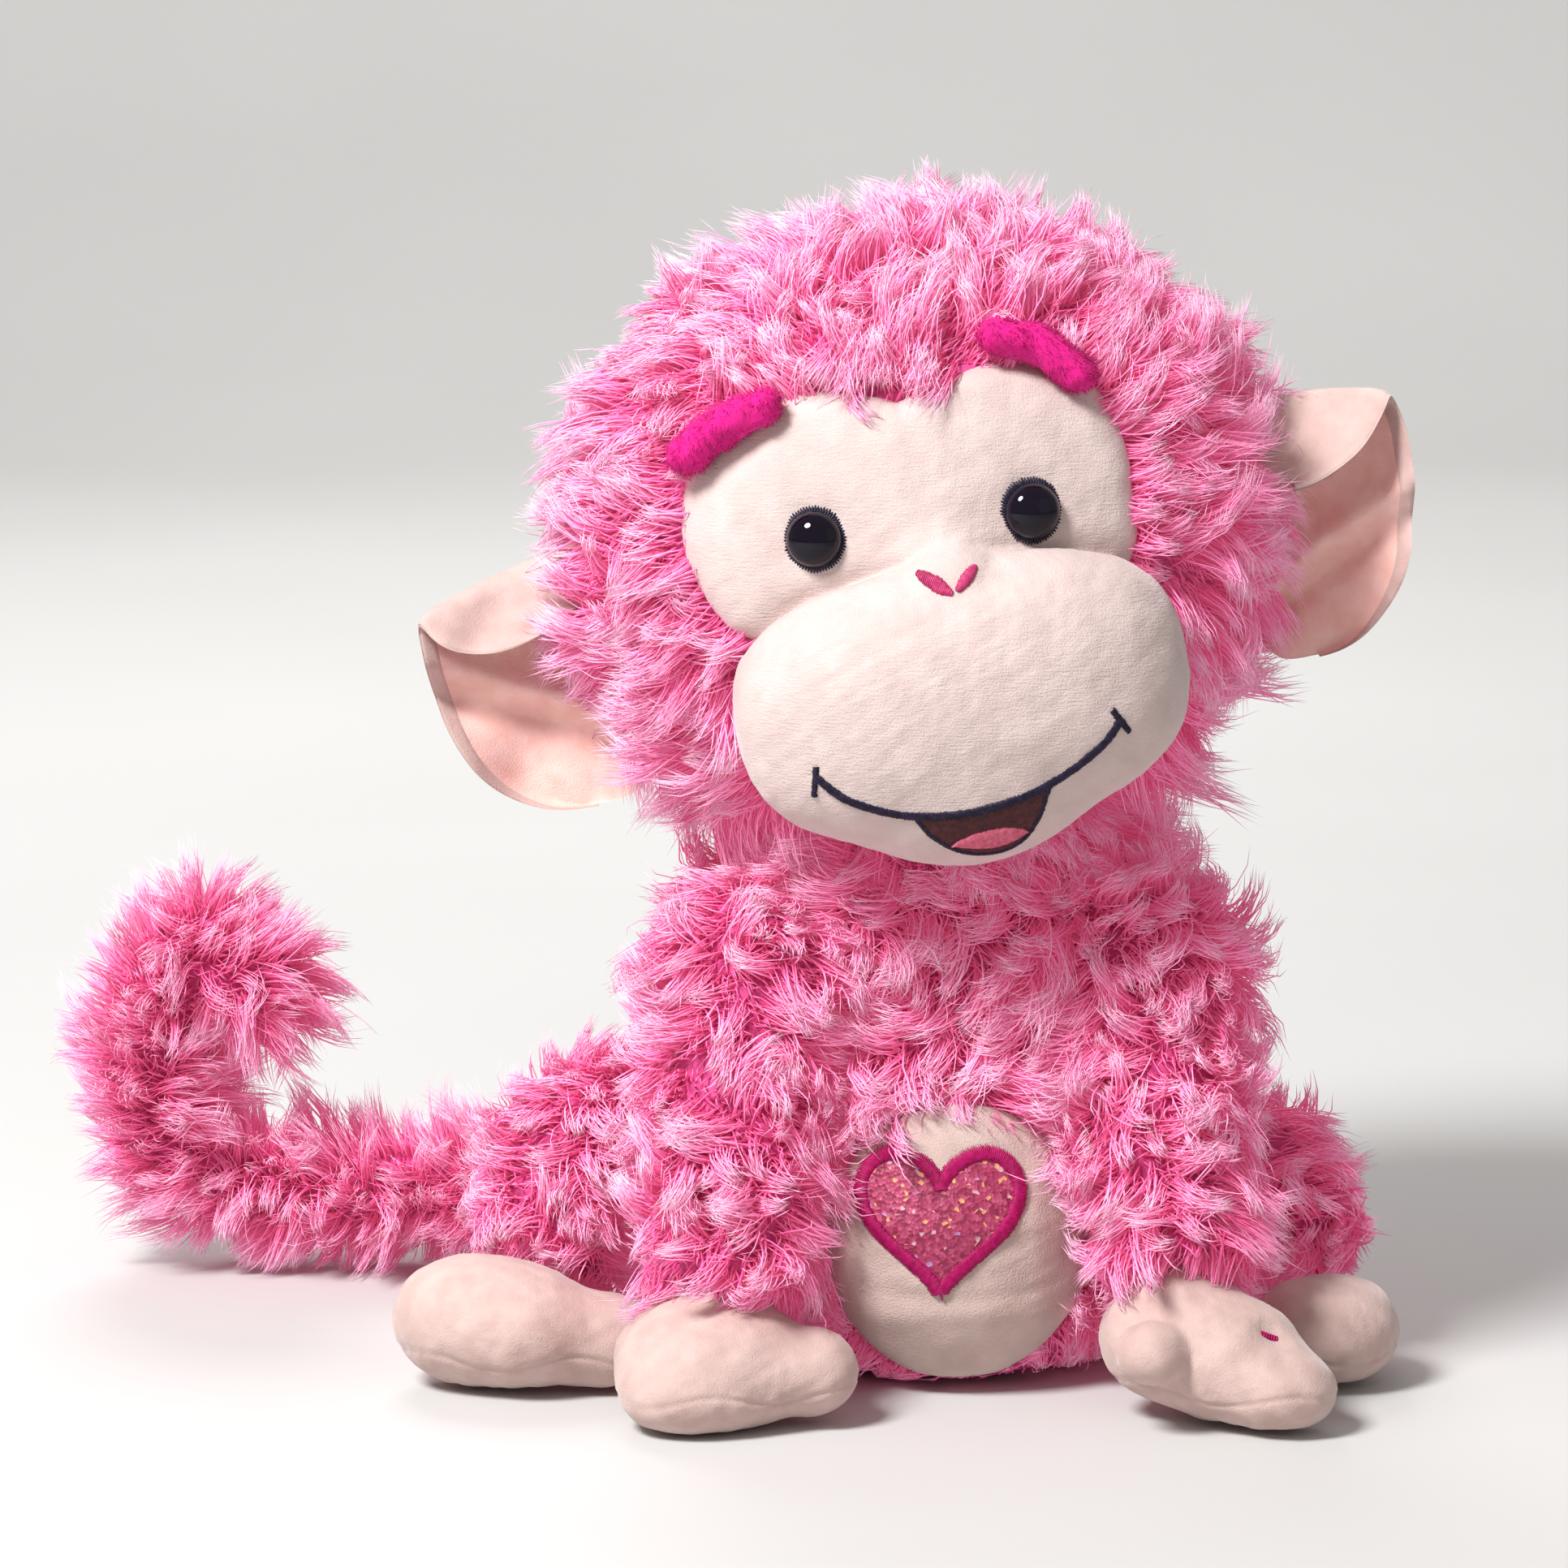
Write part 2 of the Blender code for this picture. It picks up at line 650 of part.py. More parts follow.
def muzzle_rings(inset, rows=9, sides=20):
    """Rings from the muzzle's front to its back, inside the head."""
    half = MUZZLE_HALF - Vector((inset, inset, inset))
    rings = []
    for row in range(1, rows):
        polar = math.pi * row / rows
        ring = []
        for angle in circle_angles(sides):
            wide = math.sin(polar)
            way = Vector((wide * math.cos(angle), -math.cos(polar), wide * math.sin(angle)))
            size = sum(abs(value) ** MUZZLE_FULLNESS for value in way) ** (-1.0 / MUZZLE_FULLNESS)
            ring.append(MUZZLE_CENTRE + Vector([value * reach * size for value, reach in zip(way, half)]))
        rings.append(ring)
    front = MUZZLE_CENTRE - Vector((0.0, half.y, 0.0))
    back = MUZZLE_CENTRE + Vector((0.0, half.y, 0.0))
    return rings, front, back


def build_muzzle(frame, cutter):
    rings, front, _ = muzzle_rings(0.0)
    cover = thicken(make_object("muzzle_cover", loft(rings, front), frame, CREAM), FELT_WALL)
    cut(cover, [cutter])
    rings, front, back = muzzle_rings(FELT_WALL + STUFFING_GAP)
    cut(make_object("muzzle_stuffing", loft(rings, front, back), frame, FIBRE), [cutter])


def build_mouth(frame):
    steps = 18
    line = []
    for step in range(steps + 1):
        x = MOUTH_HALF_WIDTH * (2.0 * step / steps - 1.0)
        line.append((x, smile_height(x)))
    thread = ribbon(muzzle_point, line, MOUTH_THREAD, MOUTH_LINE_OFFSETS)
    make_object("mouth_line", thread, frame, NAVY, 0.6)
    centre = (0.0, MOUTH_LOW - OPEN_MOUTH_MIDDLE * OPEN_MOUTH_DROP)
    fill = plate(muzzle_point, open_mouth_outline(), centre, MOUTH_FILL_OFFSETS, SMALL_PLATE)
    make_object("mouth_fill", fill, frame, MAROON, 0.7)
    spot = (0.0, MOUTH_LOW - TONGUE_MIDDLE * OPEN_MOUTH_DROP)
    tongue = plate(muzzle_point, oval(spot, TONGUE_HALF), spot, TONGUE_OFFSETS, SMALL_PLATE)
    make_object("tongue", tongue, frame, TONGUE_PINK, 0.7)


def open_mouth_outline(steps=10):
    """The patch under the smile: its top edge follows the smile, its bottom edge is an arc."""
    top = []
    bottom = []
    for step in range(steps + 1):
        x = OPEN_MOUTH_HALF * (2.0 * step / steps - 1.0)
        edge = smile_height(x) - 0.5 * MOUTH_THREAD - OPEN_MOUTH_MARGIN
        sag = OPEN_MOUTH_DROP * (1.0 - (x / OPEN_MOUTH_HALF) ** 2)
        top.append((x, edge))
        if 0 < step < steps:
            bottom.append((x, edge - sag))
    return top + bottom[::-1]


def build_nostrils(frame):
    for side, sign in SIDES:
        spot = (NOSTRIL_PLACE[0] * sign, NOSTRIL_PLACE[1])
        outline = oval(spot, NOSTRIL_HALF, NOSTRIL_TILT * sign, 12)
        stitch = plate(muzzle_point, outline, spot, NOSTRIL_OFFSETS, SMALL_PLATE)
        make_object("nostril_" + side, stitch, frame, MAGENTA, 0.6)


def build_brow(frame, side, sign):
    x, z = BROW_PLACE[0] * sign, BROW_PLACE[1]
    share = (x / HEAD_HALF_WIDTH) ** 2 + (z / HEAD_HALF_HEIGHT) ** 2
    depth = HEAD_FRONT * math.sqrt(1.0 - share)
    outward = Vector((x / HEAD_HALF_WIDTH ** 2, -depth / HEAD_FRONT ** 2, z / HEAD_HALF_HEIGHT ** 2))
    outward.normalize()
    middle = Vector((x, -depth, z)) + outward * (BROW_RADIUS + BROW_LIFT)
    run = Vector((math.cos(BROW_SLOPE), 0.0, -math.sin(BROW_SLOPE) * sign))
    run = (run - outward * run.dot(outward)).normalized()
    half = 0.5 * BROW_LENGTH
    path = []
    radii = []
    for share in BROW_SHARES:
        path.append(middle + run * half * share - outward * BROW_BEND * share * share)
        radii.append(BROW_RADIUS * math.sqrt(1.0 - share ** 4))
    tips = [middle + run * half * end - outward * BROW_BEND for end in (-1.0, 1.0)]
    make_object("brow_" + side, loft(tube_rings(path, radii, 10), *tips), frame, MAGENTA)


def ear_outline(sides=18):
    """A tall oval whose inner side is cut straight along the sewn root."""
    middle = EAR_MIDDLE * EAR_REACH
    return [(max(middle + (EAR_REACH - middle) * math.cos(a), 0.0), EAR_HALF_HEIGHT * math.sin(a))
            for a in circle_angles(sides)]


def build_ear(pivot, side, sign):
    def surface(x, z, offset):
        share = (x / EAR_REACH) ** 2 + EAR_CUP_HEIGHT_SHARE * (z / EAR_HALF_HEIGHT) ** 2
        return Vector((sign * x, -EAR_CUP * share + offset, z))

    centre = (EAR_PLATE_MIDDLE * EAR_REACH, 0.0)
    back = plate(surface, ear_outline(), centre, (0.5 * GAP, 0.5 * GAP + EAR_LAYER), PLATE)
    make_object("ear_back_" + side, back, pivot, CREAM)
    front = plate(surface, ear_outline(), centre, (-0.5 * GAP - EAR_LAYER, -0.5 * GAP), PLATE)
    make_object("ear_front_" + side, front, pivot, PEACH)


# Limbs: a sleeve with a round root, its stuffing, and a hand or foot with its own round root

def build_sleeve(name, points, radii, pivot, origin):
    """A sleeve open at its far end. Its stuffing stops a step earlier, clear of the next root."""
    local = [point - origin for point in points]
    cover = make_object(name + "_cover", rounded_tube(local, radii, None), pivot, PINK_FUR)
    thicken(cover, FUR_WALL)
    inset = FUR_WALL + 2.0 * STUFFING_GAP
    short = local[:-1]
    inner = [radius - inset for radius in radii[:-1]]
    make_object(name + "_stuffing", rounded_tube(short, inner, "flat"), pivot, FIBRE)


def build_end(name, centre, joint, balls, pivot):
    root = (tuple(joint), (ROOT_RADIUS, ROOT_RADIUS, ROOT_RADIUS))
    form = balls + (root,)
    cover = shift(blob(centre, joint, form, 0.0, opening=ROOT_OPENING), -joint)
    thicken(make_object(name + "_cover", cover, pivot, CREAM), FELT_WALL)
    stuffing = shift(blob(centre, joint, form, FELT_WALL + STUFFING_GAP), -joint)
    make_object(name + "_stuffing", stuffing, pivot, FIBRE)


def build_arm(side, body_frame):
    shoulder, wrist = SHOULDERS[side], WRISTS[side]
    pivot = make_frame("shoulder_" + side, shoulder, body_frame)
    bend = shoulder.lerp(wrist, ARM_STRAIGHT_SHARE)
    points = [shoulder, bend, stop_before(shoulder, wrist, SLEEVE_STOP)]
    build_sleeve("arm_" + side, points, (ARM_RADIUS, ARM_RADIUS, ARM_RADIUS - 1.0), pivot, shoulder)
    wrist_pivot = make_frame("wrist_" + side, wrist - shoulder, pivot)
    build_end("hand_" + side, HAND_CENTRES[side], wrist, HAND_BALLS[side], wrist_pivot)
    return wrist_pivot


def build_tack(pivot):
    """The short bar of stitches that pulls a dimple into the back of the hand."""
    wrist = WRISTS["right"]
    centre = HAND_CENTRES["right"]
    direction = TACK_PLACE - centre
    direction.z = abs(direction.x)
    direction.normalize()
    root = (tuple(wrist), (ROOT_RADIUS, ROOT_RADIUS, ROOT_RADIUS))
    reach = reach_from(centre, direction, HAND_BALLS["right"] + (root,), 0.0)
    spot = centre + direction * (reach + TACK_LIFT) - wrist
    run = Vector((1.0, 0.0, 0.0))
    run = (run - direction * run.dot(direction)).normalized()
    path = [spot + run * span for span in TACK_SPANS]
    stitch = loft(tube_rings(path, TACK_RADII, 8), "flat", "flat")
    make_object("hand_tack_right", stitch, pivot, MAGENTA)


def leg_points(side):
    """The leg's middle line, a curve from hip to ankle that stops short of the ankle."""
    hip, knee, ankle = HIPS[side], KNEES[side], ANKLES[side]
    bend = [hip.lerp(knee, share).lerp(knee.lerp(ankle, share), share) for share in LEG_SHARES]
    return bend + [stop_before(bend[-1], ankle, SLEEVE_STOP)]


def build_leg(side, body_frame):
    hip, ankle = HIPS[side], ANKLES[side]
    pivot = make_frame("hip_" + side, hip, body_frame)
    build_sleeve("leg_" + side, leg_points(side), LEG_RADII, pivot, hip)
    ankle_pivot = make_frame("ankle_" + side, ankle - hip, pivot)
    build_end("foot_" + side, FOOT_CENTRES[side], ankle, FOOT_BALLS[side], ankle_pivot)


def tail_points(index):
    """The middle line of one tail piece, from its joint to just before the next one."""
    start = TAIL_JOINTS[index]
    if index == len(TAIL_NAMES) - 1:
        return [start] + list(TAIL_BENDS["tip"]) + [TAIL_END]
    bends = list(TAIL_BENDS[TAIL_NAMES[index]])
    return [start] + bends + [stop_before(bends[-1], TAIL_JOINTS[index + 1], TAIL_STOP)]


def build_tail(body_frame):
    """Four pieces in a row. Each one's narrow root turns inside the open end before it."""
    parent, origin = body_frame, Vector()
    for index, name in enumerate(TAIL_NAMES):
        joint = TAIL_JOINTS[index]
        pivot = make_frame("tail_joint_" + name, joint - origin, parent)
        build_tail_piece("tail_" + name, [point - joint for point in tail_points(index)], pivot)
        parent, origin = pivot, joint


def build_tail_piece(name, local, pivot):
    narrow = TAIL_RADIUS - FUR_WALL - ROOT_GAP
    radii = [TAIL_RADIUS] * len(local)
    if name != "tail_base":
        local.insert(1, along(local[0], local[1], TAIL_FLARE))
        radii = [narrow] + radii
    inset = FUR_WALL + STUFFING_GAP
    inner = [max(radius - inset, TAIL_FILLING_LEAST) for radius in radii]
    if name == "tail_tip":
        form = rounded_tube(local[::-1], radii[::-1], None)
        short = [along(local[0], local[1], 1.0)] + local[1:]
        filling = rounded_tube(short[::-1], inner[::-1], "flat")
    else:
        form = rounded_tube(local, radii, None)
        short = local[:-1] + [stop_before(local[-2], local[-1], narrow)]
        filling = rounded_tube(short, inner, "flat")
    thicken(make_object(name + "_cover", form, pivot, PINK_FUR), FUR_WALL)
    make_object(name + "_stuffing", filling, pivot, FIBRE)


# Cutters: the sockets and hollows that limbs, neck and face leave in the body and head

def limb_cutters(root):
    cutters = [make_cutter("neck_hollow", ball_mesh(NECK_PIVOT, NECK_SOCKET), root)]
    for side in ("left", "right"):
        arm = [SHOULDERS[side], WRISTS[side]]
        reach = [ARM_RADIUS + SOCKET_GAP] * 2
        cutters.append(make_cutter("arm_hollow_" + side, rounded_tube(arm, reach, "flat"), root))
        reach = [radius + SOCKET_GAP for radius in LEG_RADII]
        leg = rounded_tube(leg_points(side), reach, "flat")
        cutters.append(make_cutter("leg_hollow_" + side, leg, root))
    tail = [TAIL_JOINTS[0], TAIL_JOINTS[1]]
    reach = [TAIL_RADIUS + SOCKET_GAP, TAIL_RADIUS + TAIL_SWING_ROOM]
    cutters.append(make_cutter("tail_hollow", rounded_tube(tail, reach, "flat"), root))
    return cutters


def head_form_cutter(frame):
    """The outside of the head with a small gap, that the muzzle's back is shaped by."""
    rings = head_rings(-GAP, FACE_OPENING)
    for share in HEAD_FORM_ENDS:
        depth = -(HEAD_FRONT + GAP) * math.sqrt(1.0 - share * share)
        rings.append([Vector(((HEAD_HALF_WIDTH + GAP) * share * math.cos(a), depth,
                              (HEAD_HALF_HEIGHT + GAP) * share * math.sin(a)))
                      for a in circle_angles(HEAD_SIDES)])
    back = Vector((0.0, HEAD_BACK + GAP, 0.0))
    front = Vector((0.0, -HEAD_FRONT - GAP, 0.0))
    return make_cutter("head_form", loft(rings, back, front), frame)


def build_head_group(neck_pivot, neck_cutter):
    turn = Euler((0.0, HEAD_ROLL, HEAD_YAW))
    head = make_frame("head_middle", HEAD_CENTRE - NECK_PIVOT, neck_pivot, turn)
    axes = {side: eye_frame(head, side, sign) for side, sign in SIDES}
    cutters = {side: eye_cutters(axes[side], side) for side, _ in SIDES}
    build_head(head, neck_cutter, [cutters[side][1] for side, _ in SIDES])
    build_face(head, [cutters[side][0] for side, _ in SIDES])
    build_muzzle(head, head_form_cutter(head))
    build_mouth(head)
    build_nostrils(head)
    for side, sign in SIDES:
        build_eye(head, axes[side], side, sign, cutters[side][0])
        build_brow(head, side, sign)
        place = Vector((EAR_ROOT.x * sign, EAR_ROOT.y, EAR_ROOT.z))
        build_ear(make_frame("ear_root_" + side, place, head), side, sign)


def build_all():
    clear_scene()
    root = make_frame("monkey", Vector())
    cutters = limb_cutters(root)
    build_body(root, cutters)
    build_belly(root)
    neck_pivot = make_frame("neck_joint", NECK_PIVOT, root)
    build_neck(neck_pivot)
    build_head_group(neck_pivot, cutters[0])
    for side, _ in SIDES:
        wrist_pivot = build_arm(side, root)
        if side == "right":
            build_tack(wrist_pivot)
        build_leg(side, root)
    build_tail(root)


build_all()
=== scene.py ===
"""Looks of the seated plush monkey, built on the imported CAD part.

Shapes are worked out in millimetres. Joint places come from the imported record, and the head's own
frame comes from its two ear joints. The soft covers are shaped in mesh code: joined balls, lofted
tubes and real strands of pile, each strand a closed tapered tube.
"""

import json
import math
from dataclasses import dataclass

import bpy
import numpy as np
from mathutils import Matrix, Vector


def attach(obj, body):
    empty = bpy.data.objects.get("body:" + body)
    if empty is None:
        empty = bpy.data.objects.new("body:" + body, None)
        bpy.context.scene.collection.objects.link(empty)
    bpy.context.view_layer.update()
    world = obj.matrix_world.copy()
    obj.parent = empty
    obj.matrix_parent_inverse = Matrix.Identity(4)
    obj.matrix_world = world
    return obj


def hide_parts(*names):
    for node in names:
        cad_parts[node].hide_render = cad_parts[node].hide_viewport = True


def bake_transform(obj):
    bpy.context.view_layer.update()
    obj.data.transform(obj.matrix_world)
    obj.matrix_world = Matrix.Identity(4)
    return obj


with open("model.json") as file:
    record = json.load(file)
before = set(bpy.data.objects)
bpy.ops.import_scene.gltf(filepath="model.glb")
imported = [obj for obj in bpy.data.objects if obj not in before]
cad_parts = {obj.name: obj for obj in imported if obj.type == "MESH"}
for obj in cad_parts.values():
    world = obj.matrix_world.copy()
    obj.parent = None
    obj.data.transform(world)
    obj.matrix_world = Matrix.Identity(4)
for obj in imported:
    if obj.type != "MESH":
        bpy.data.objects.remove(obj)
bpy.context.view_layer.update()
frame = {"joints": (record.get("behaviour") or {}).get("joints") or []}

MM = 0.001
FUR_SHARE = 1.0
SIDES = (("left", -1.0), ("right", 1.0))

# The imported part's joints and the head's frame
JOINTS = {joint["name"]: joint for joint in frame["joints"]}
EAR_DROP = 19.0


def unit(vector):
    vector = np.asarray(vector, float)
    return vector / np.maximum(np.linalg.norm(vector, axis=-1, keepdims=True), 1e-9)


def joint_place(name):
    return np.array(JOINTS[name]["pos_m"]) / MM


def head_frame():
    left = joint_place("ear_left_fold")
    right = joint_place("ear_right_fold")
    up = unit(np.array(JOINTS["ear_left_fold"]["axis"]))
    side = unit(right - left)
    back = unit(np.cross(up, side))
    return 0.5 * (left + right) + up * EAR_DROP, np.stack([side, back, np.cross(side, back)])


HEAD_PLACE, HEAD_AXES = head_frame()


def from_head(points):
    return HEAD_PLACE + np.asarray(points) @ HEAD_AXES


def to_head(points):
    return (np.asarray(points) - HEAD_PLACE) @ HEAD_AXES.T


# ---------------------------------------------------------------- meshes

def triangles(quads):
    return np.concatenate([quads[:, [0, 1, 2]], quads[:, [0, 2, 3]]])

def in_scene(name, data):
    item = bpy.data.objects.new(name, data)
    bpy.context.scene.collection.objects.link(item)
    return item


def make_piece(name, data, material, body, slot, *nodes, uv=None):
    """A mesh piece from points in millimetres and triangles, which stands for some CAD nodes.

    body is the name of the body that it rides on, or a function that places it."""
    verts, tris = data
    mesh = bpy.data.meshes.new(name)
    mesh.vertices.add(len(verts))
    mesh.vertices.foreach_set("co", (np.asarray(verts) * MM).astype(np.float32).ravel())
    mesh.loops.add(tris.size)
    mesh.loops.foreach_set("vertex_index", tris.astype(np.int32).ravel())
    mesh.polygons.add(len(tris))
    mesh.polygons.foreach_set("loop_start", np.arange(0, tris.size, 3, dtype=np.int32))
    if uv is not None:
        layer = mesh.uv_layers.new(name="OFBake")
        layer.data.foreach_set("uv", uv[tris.ravel()].astype(np.float32).ravel())
    mesh.update(calc_edges=True)
    mesh.shade_smooth()
    mesh.materials.append(material)
    item = in_scene(name, mesh)
    if callable(body):
        body(item)
    else:
        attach(item, body)
    if nodes:
        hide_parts(*nodes)


def head_piece(name, data, material, slot, *nodes):
    """A piece that rides on the head, from points in the head's own frame."""
    make_piece(name, (from_head(data[0]), data[1]), material, "head", slot, *nodes)


def full_turn(sides):
    return np.arange(sides) * 2.0 * math.pi / sides


def grid_mesh(grid):
    """Skin rows of points that close on themselves sideways, with a fan at each end."""
    rows, sides = grid.shape[:2]
    index = np.arange(rows * sides).reshape(rows, sides)
    after = np.roll(index, -1, axis=1)
    quads = np.stack([index[:-1], after[:-1], after[1:], index[1:]], axis=-1).reshape(-1, 4)
    tip = np.full(sides, rows * sides)
    fans = [np.stack([after[0], index[0], tip], -1), np.stack([index[-1], after[-1], tip + 1], -1)]
    tris = np.concatenate([triangles(quads), *fans])
    verts = np.concatenate([grid.reshape(-1, 3), [grid[0].mean(0), grid[-1].mean(0)]])
    return verts, outward(verts, tris)


def corners(verts, tris):
    return (verts[tris[:, k]] for k in range(3))


def outward(verts, tris):
    """Turn a closed mesh's triangles so that its volume is positive."""
    a, b, c = corners(verts, tris)
    volume = np.einsum("ij,ij->i", a, np.cross(b, c)).sum()
    return tris[:, ::-1] if volume < 0.0 else tris


def join(parts):
    bases = np.cumsum([0] + [len(verts) for verts, _ in parts])
    tris = [faces + base for (_, faces), base in zip(parts, bases)]
    return np.concatenate([verts for verts, _ in parts]), np.concatenate(tris)


def vertex_normals(verts, tris):
    a, b, c = corners(verts, tris)
    face = np.cross(b - a, c - a)
    total = np.zeros_like(verts)
    for k in range(3):
        np.add.at(total, tris[:, k], face)
    return unit(total)


def ripple(points, scale, seed, octaves=3):
    """Smooth pseudo-random waves between about -1 and 1."""
    rng = np.random.default_rng(seed)
    total = np.zeros(points.shape[:-1])
    for octave in range(octaves):
        size = scale / 1.9 ** octave
        for _ in range(5):
            way = unit(rng.normal(size=3)) * (2.0 * math.pi / size) * rng.uniform(0.6, 1.4)
            total += np.sin(points @ way + rng.uniform(0.0, 6.28)) * 0.6 ** octave
    return total / 4.0
def roughen(verts, tris, height, scale, seed):
    """Move a mesh's points in and out in soft waves."""
    return verts + vertex_normals(verts, tris) * (height * ripple(verts, scale, seed))[:, None]


# ---------------------------------------------------------------- materials

SHEEN_ROUGHNESS = 0.4
PILE_RELIEF = 0.0006


def node_material(name, roughness, sheen=0.0):
    material = bpy.data.materials.new(name)
    material.use_nodes = True
    tree = material.node_tree
    shader = tree.nodes["Principled BSDF"]
    shader.inputs["Roughness"].default_value = roughness
    shader.inputs["Sheen Weight"].default_value = sheen
    shader.inputs["Sheen Roughness"].default_value = SHEEN_ROUGHNESS
    return material, tree, shader


def colour_by(tree, socket, value, stops):
    """Feed a colour socket from a value by a ramp, and return the ramp."""
    ramp = tree.nodes.new("ShaderNodeValToRGB")
    elements = ramp.color_ramp.elements
    while len(elements) < len(stops):
        elements.new(0.5)
    for element, (place, colour) in zip(elements, stops):
        element.position = place
        element.color = (*colour, 1.0)
    tree.links.new(value, ramp.inputs["Fac"])
    tree.links.new(ramp.outputs["Color"], socket)
    return ramp.color_ramp


def noise_value(tree, scale, detail, stretch=None):
    noise = tree.nodes.new("ShaderNodeTexNoise")
    noise.inputs["Scale"].default_value = scale
    noise.inputs["Detail"].default_value = detail
    place = tree.nodes.new("ShaderNodeTexCoord").outputs["Object"]
    if stretch is not None:
        mapping = tree.nodes.new("ShaderNodeMapping")
        mapping.inputs["Scale"].default_value = stretch
        tree.links.new(place, mapping.inputs["Vector"])
        place = mapping.outputs["Vector"]
    tree.links.new(place, noise.inputs["Vector"])
    return noise.outputs["Fac"]


def mottled_material(name, roughness, scale, detail, places, dark, light, sheen=0.0):
    """A colour that wanders between dark and light in soft patches."""
    material, tree, shader = node_material(name, roughness, sheen)
    patch = noise_value(tree, scale, detail)
    colour_by(tree, shader.inputs["Base Color"], patch, tuple(zip(places, (dark, light))))
    return material, tree, shader, patch


def add_bump(tree, shader, heights, strength, distance):
    """Bump from one height, or from the sum of two."""
    total = heights[0]
    for height in heights[1:]:
        add = tree.nodes.new("ShaderNodeMath")
        add.operation = "ADD"
        tree.links.new(total, add.inputs[0])
        tree.links.new(height, add.inputs[1])
        total = add.outputs[0]
    bump = tree.nodes.new("ShaderNodeBump")
    bump.inputs["Strength"].default_value = strength
    bump.inputs["Distance"].default_value = distance
    tree.links.new(total, bump.inputs["Height"])
    tree.links.new(bump.outputs["Normal"], shader.inputs["Normal"])

def plush_material(name, dark, light, roughness=0.85, sheen=0.35, fuzz=2600.0, patches=160.0, strength=0.35):
    """Velvety short plush: fine fuzz over soft patches where the pile lies another way."""
    material, tree, shader, patch = mottled_material(
        name, roughness, patches, 4.0, (0.32, 0.68), dark, light, sheen)
    add_bump(tree, shader, (noise_value(tree, fuzz, 2.0), patch), strength, PILE_RELIEF)
    return material


def knit_material(name, dark, light):
    """Short plush on a knitted ground whose fine rows show through."""
    material, tree, shader, _ = mottled_material(name, 0.85, 130.0, 4.0, (0.3, 0.7), dark, light, 0.35)
    rows = noise_value(tree, 1.0, 2.0, (350.0, 350.0, 2300.0))
    add_bump(tree, shader, (rows, noise_value(tree, 2400.0, 2.0)), 0.4, PILE_RELIEF)
    return material


def thread_material(name, dark, light):
    material, tree, shader, _ = mottled_material(name, 0.4, 900.0, 3.0, (0.35, 0.65), dark, light, 0.04)
    shader.inputs["Specular IOR Level"].default_value = 0.25
    add_bump(tree, shader, (noise_value(tree, 5000.0, 2.0),), 0.3, 0.0003)
    return material


# Root to tip: the mid pink is the fur's own colour. The deep roots are painted shade down among the tufts.
# The pale tips are painted light: highlight and light shining through the fibres.
FUR_STOPS = ((0.0, (0.86, 0.08, 0.31)), (0.25, (0.98, 0.19, 0.45)), (0.55, (1.0, 0.40, 0.66)),
             (0.82, (1.0, 0.63, 0.82)), (1.0, (1.0, 0.83, 0.92)))
FUR_DEEPEST_TONE = (0.90, 0.46, 0.64)
FUR_TONE_SPREAD = 0.55
FUR_GLOW = 0.10
FUR_GLOW_COLOUR = (1.0, 0.20, 0.42, 1.0)
FUR_GLINT_COLOUR = (1.0, 0.75, 0.87, 1.0)


def fur_material(name):
    """Fur: colour runs from root to tip along V, deep roots as painted shade and pale tips as painted light,
    and each strand has its own tone along U.

    The glow stands for the light that thin bright fibres pass on to each other."""
    material, tree, shader = node_material(name, 0.42)
    shader.inputs["Emission Color"].default_value = FUR_GLOW_COLOUR
    shader.inputs["Emission Strength"].default_value = FUR_GLOW
    shader.inputs["Specular IOR Level"].default_value = 0.40
    shader.inputs["Specular Tint"].default_value = FUR_GLINT_COLOUR
    layer = tree.nodes.new("ShaderNodeUVMap")
    layer.uv_map = "OFBake"
    split = tree.nodes.new("ShaderNodeSeparateXYZ")
    tree.links.new(layer.outputs["UV"], split.inputs["Vector"])
    mix = tree.nodes.new("ShaderNodeMix")
    mix.data_type = "RGBA"
    mix.blend_type = "MULTIPLY"
    mix.inputs["Factor"].default_value = FUR_TONE_SPREAD
    colour_by(tree, mix.inputs["A"], split.outputs["Y"], FUR_STOPS)
    colour_by(tree, mix.inputs["B"], split.outputs["X"], ((0.0, FUR_DEEPEST_TONE), (1.0, (1.0, 1.0, 1.0))))
    tree.links.new(mix.outputs["Result"], shader.inputs["Base Color"])
    return material


# Where each colour starts: three tones of rose cloth, then gold, silver and lilac flakes
GLITTER_STOPS = ((0.0, (0.24, 0.012, 0.055)), (0.32, (0.36, 0.03, 0.10)), (0.70, (0.45, 0.07, 0.15)),
                 (0.92, (0.68, 0.33, 0.14)), (0.965, (0.60, 0.34, 0.38)), (0.985, (0.42, 0.22, 0.46)))


def glitter_material(name):
    """Rose cloth covered with fine flakes."""
    material, tree, shader = node_material(name, 0.5)
    cells = tree.nodes.new("ShaderNodeTexVoronoi")
    cells.inputs["Scale"].default_value = 1150.0
    coords = tree.nodes.new("ShaderNodeTexCoord")
    tree.links.new(coords.outputs["Object"], cells.inputs["Vector"])
    split = tree.nodes.new("ShaderNodeSeparateColor")
    tree.links.new(cells.outputs["Color"], split.inputs["Color"])
    ramp = colour_by(tree, shader.inputs["Base Color"], split.outputs["Red"], GLITTER_STOPS)
    ramp.interpolation = "CONSTANT"
    add_bump(tree, shader, (cells.outputs["Distance"], split.outputs["Green"]), 0.4, 0.0005)
    return material


def gloss_material(name):
    """Shiny black plastic with a trace of purple."""
    material, _, shader, _ = mottled_material(
        name, 0.02, 60.0, 2.0, (0.4, 0.6), (0.003, 0.001, 0.006), (0.005, 0.002, 0.010))
    shader.inputs["Specular IOR Level"].default_value = 0.30
    return material


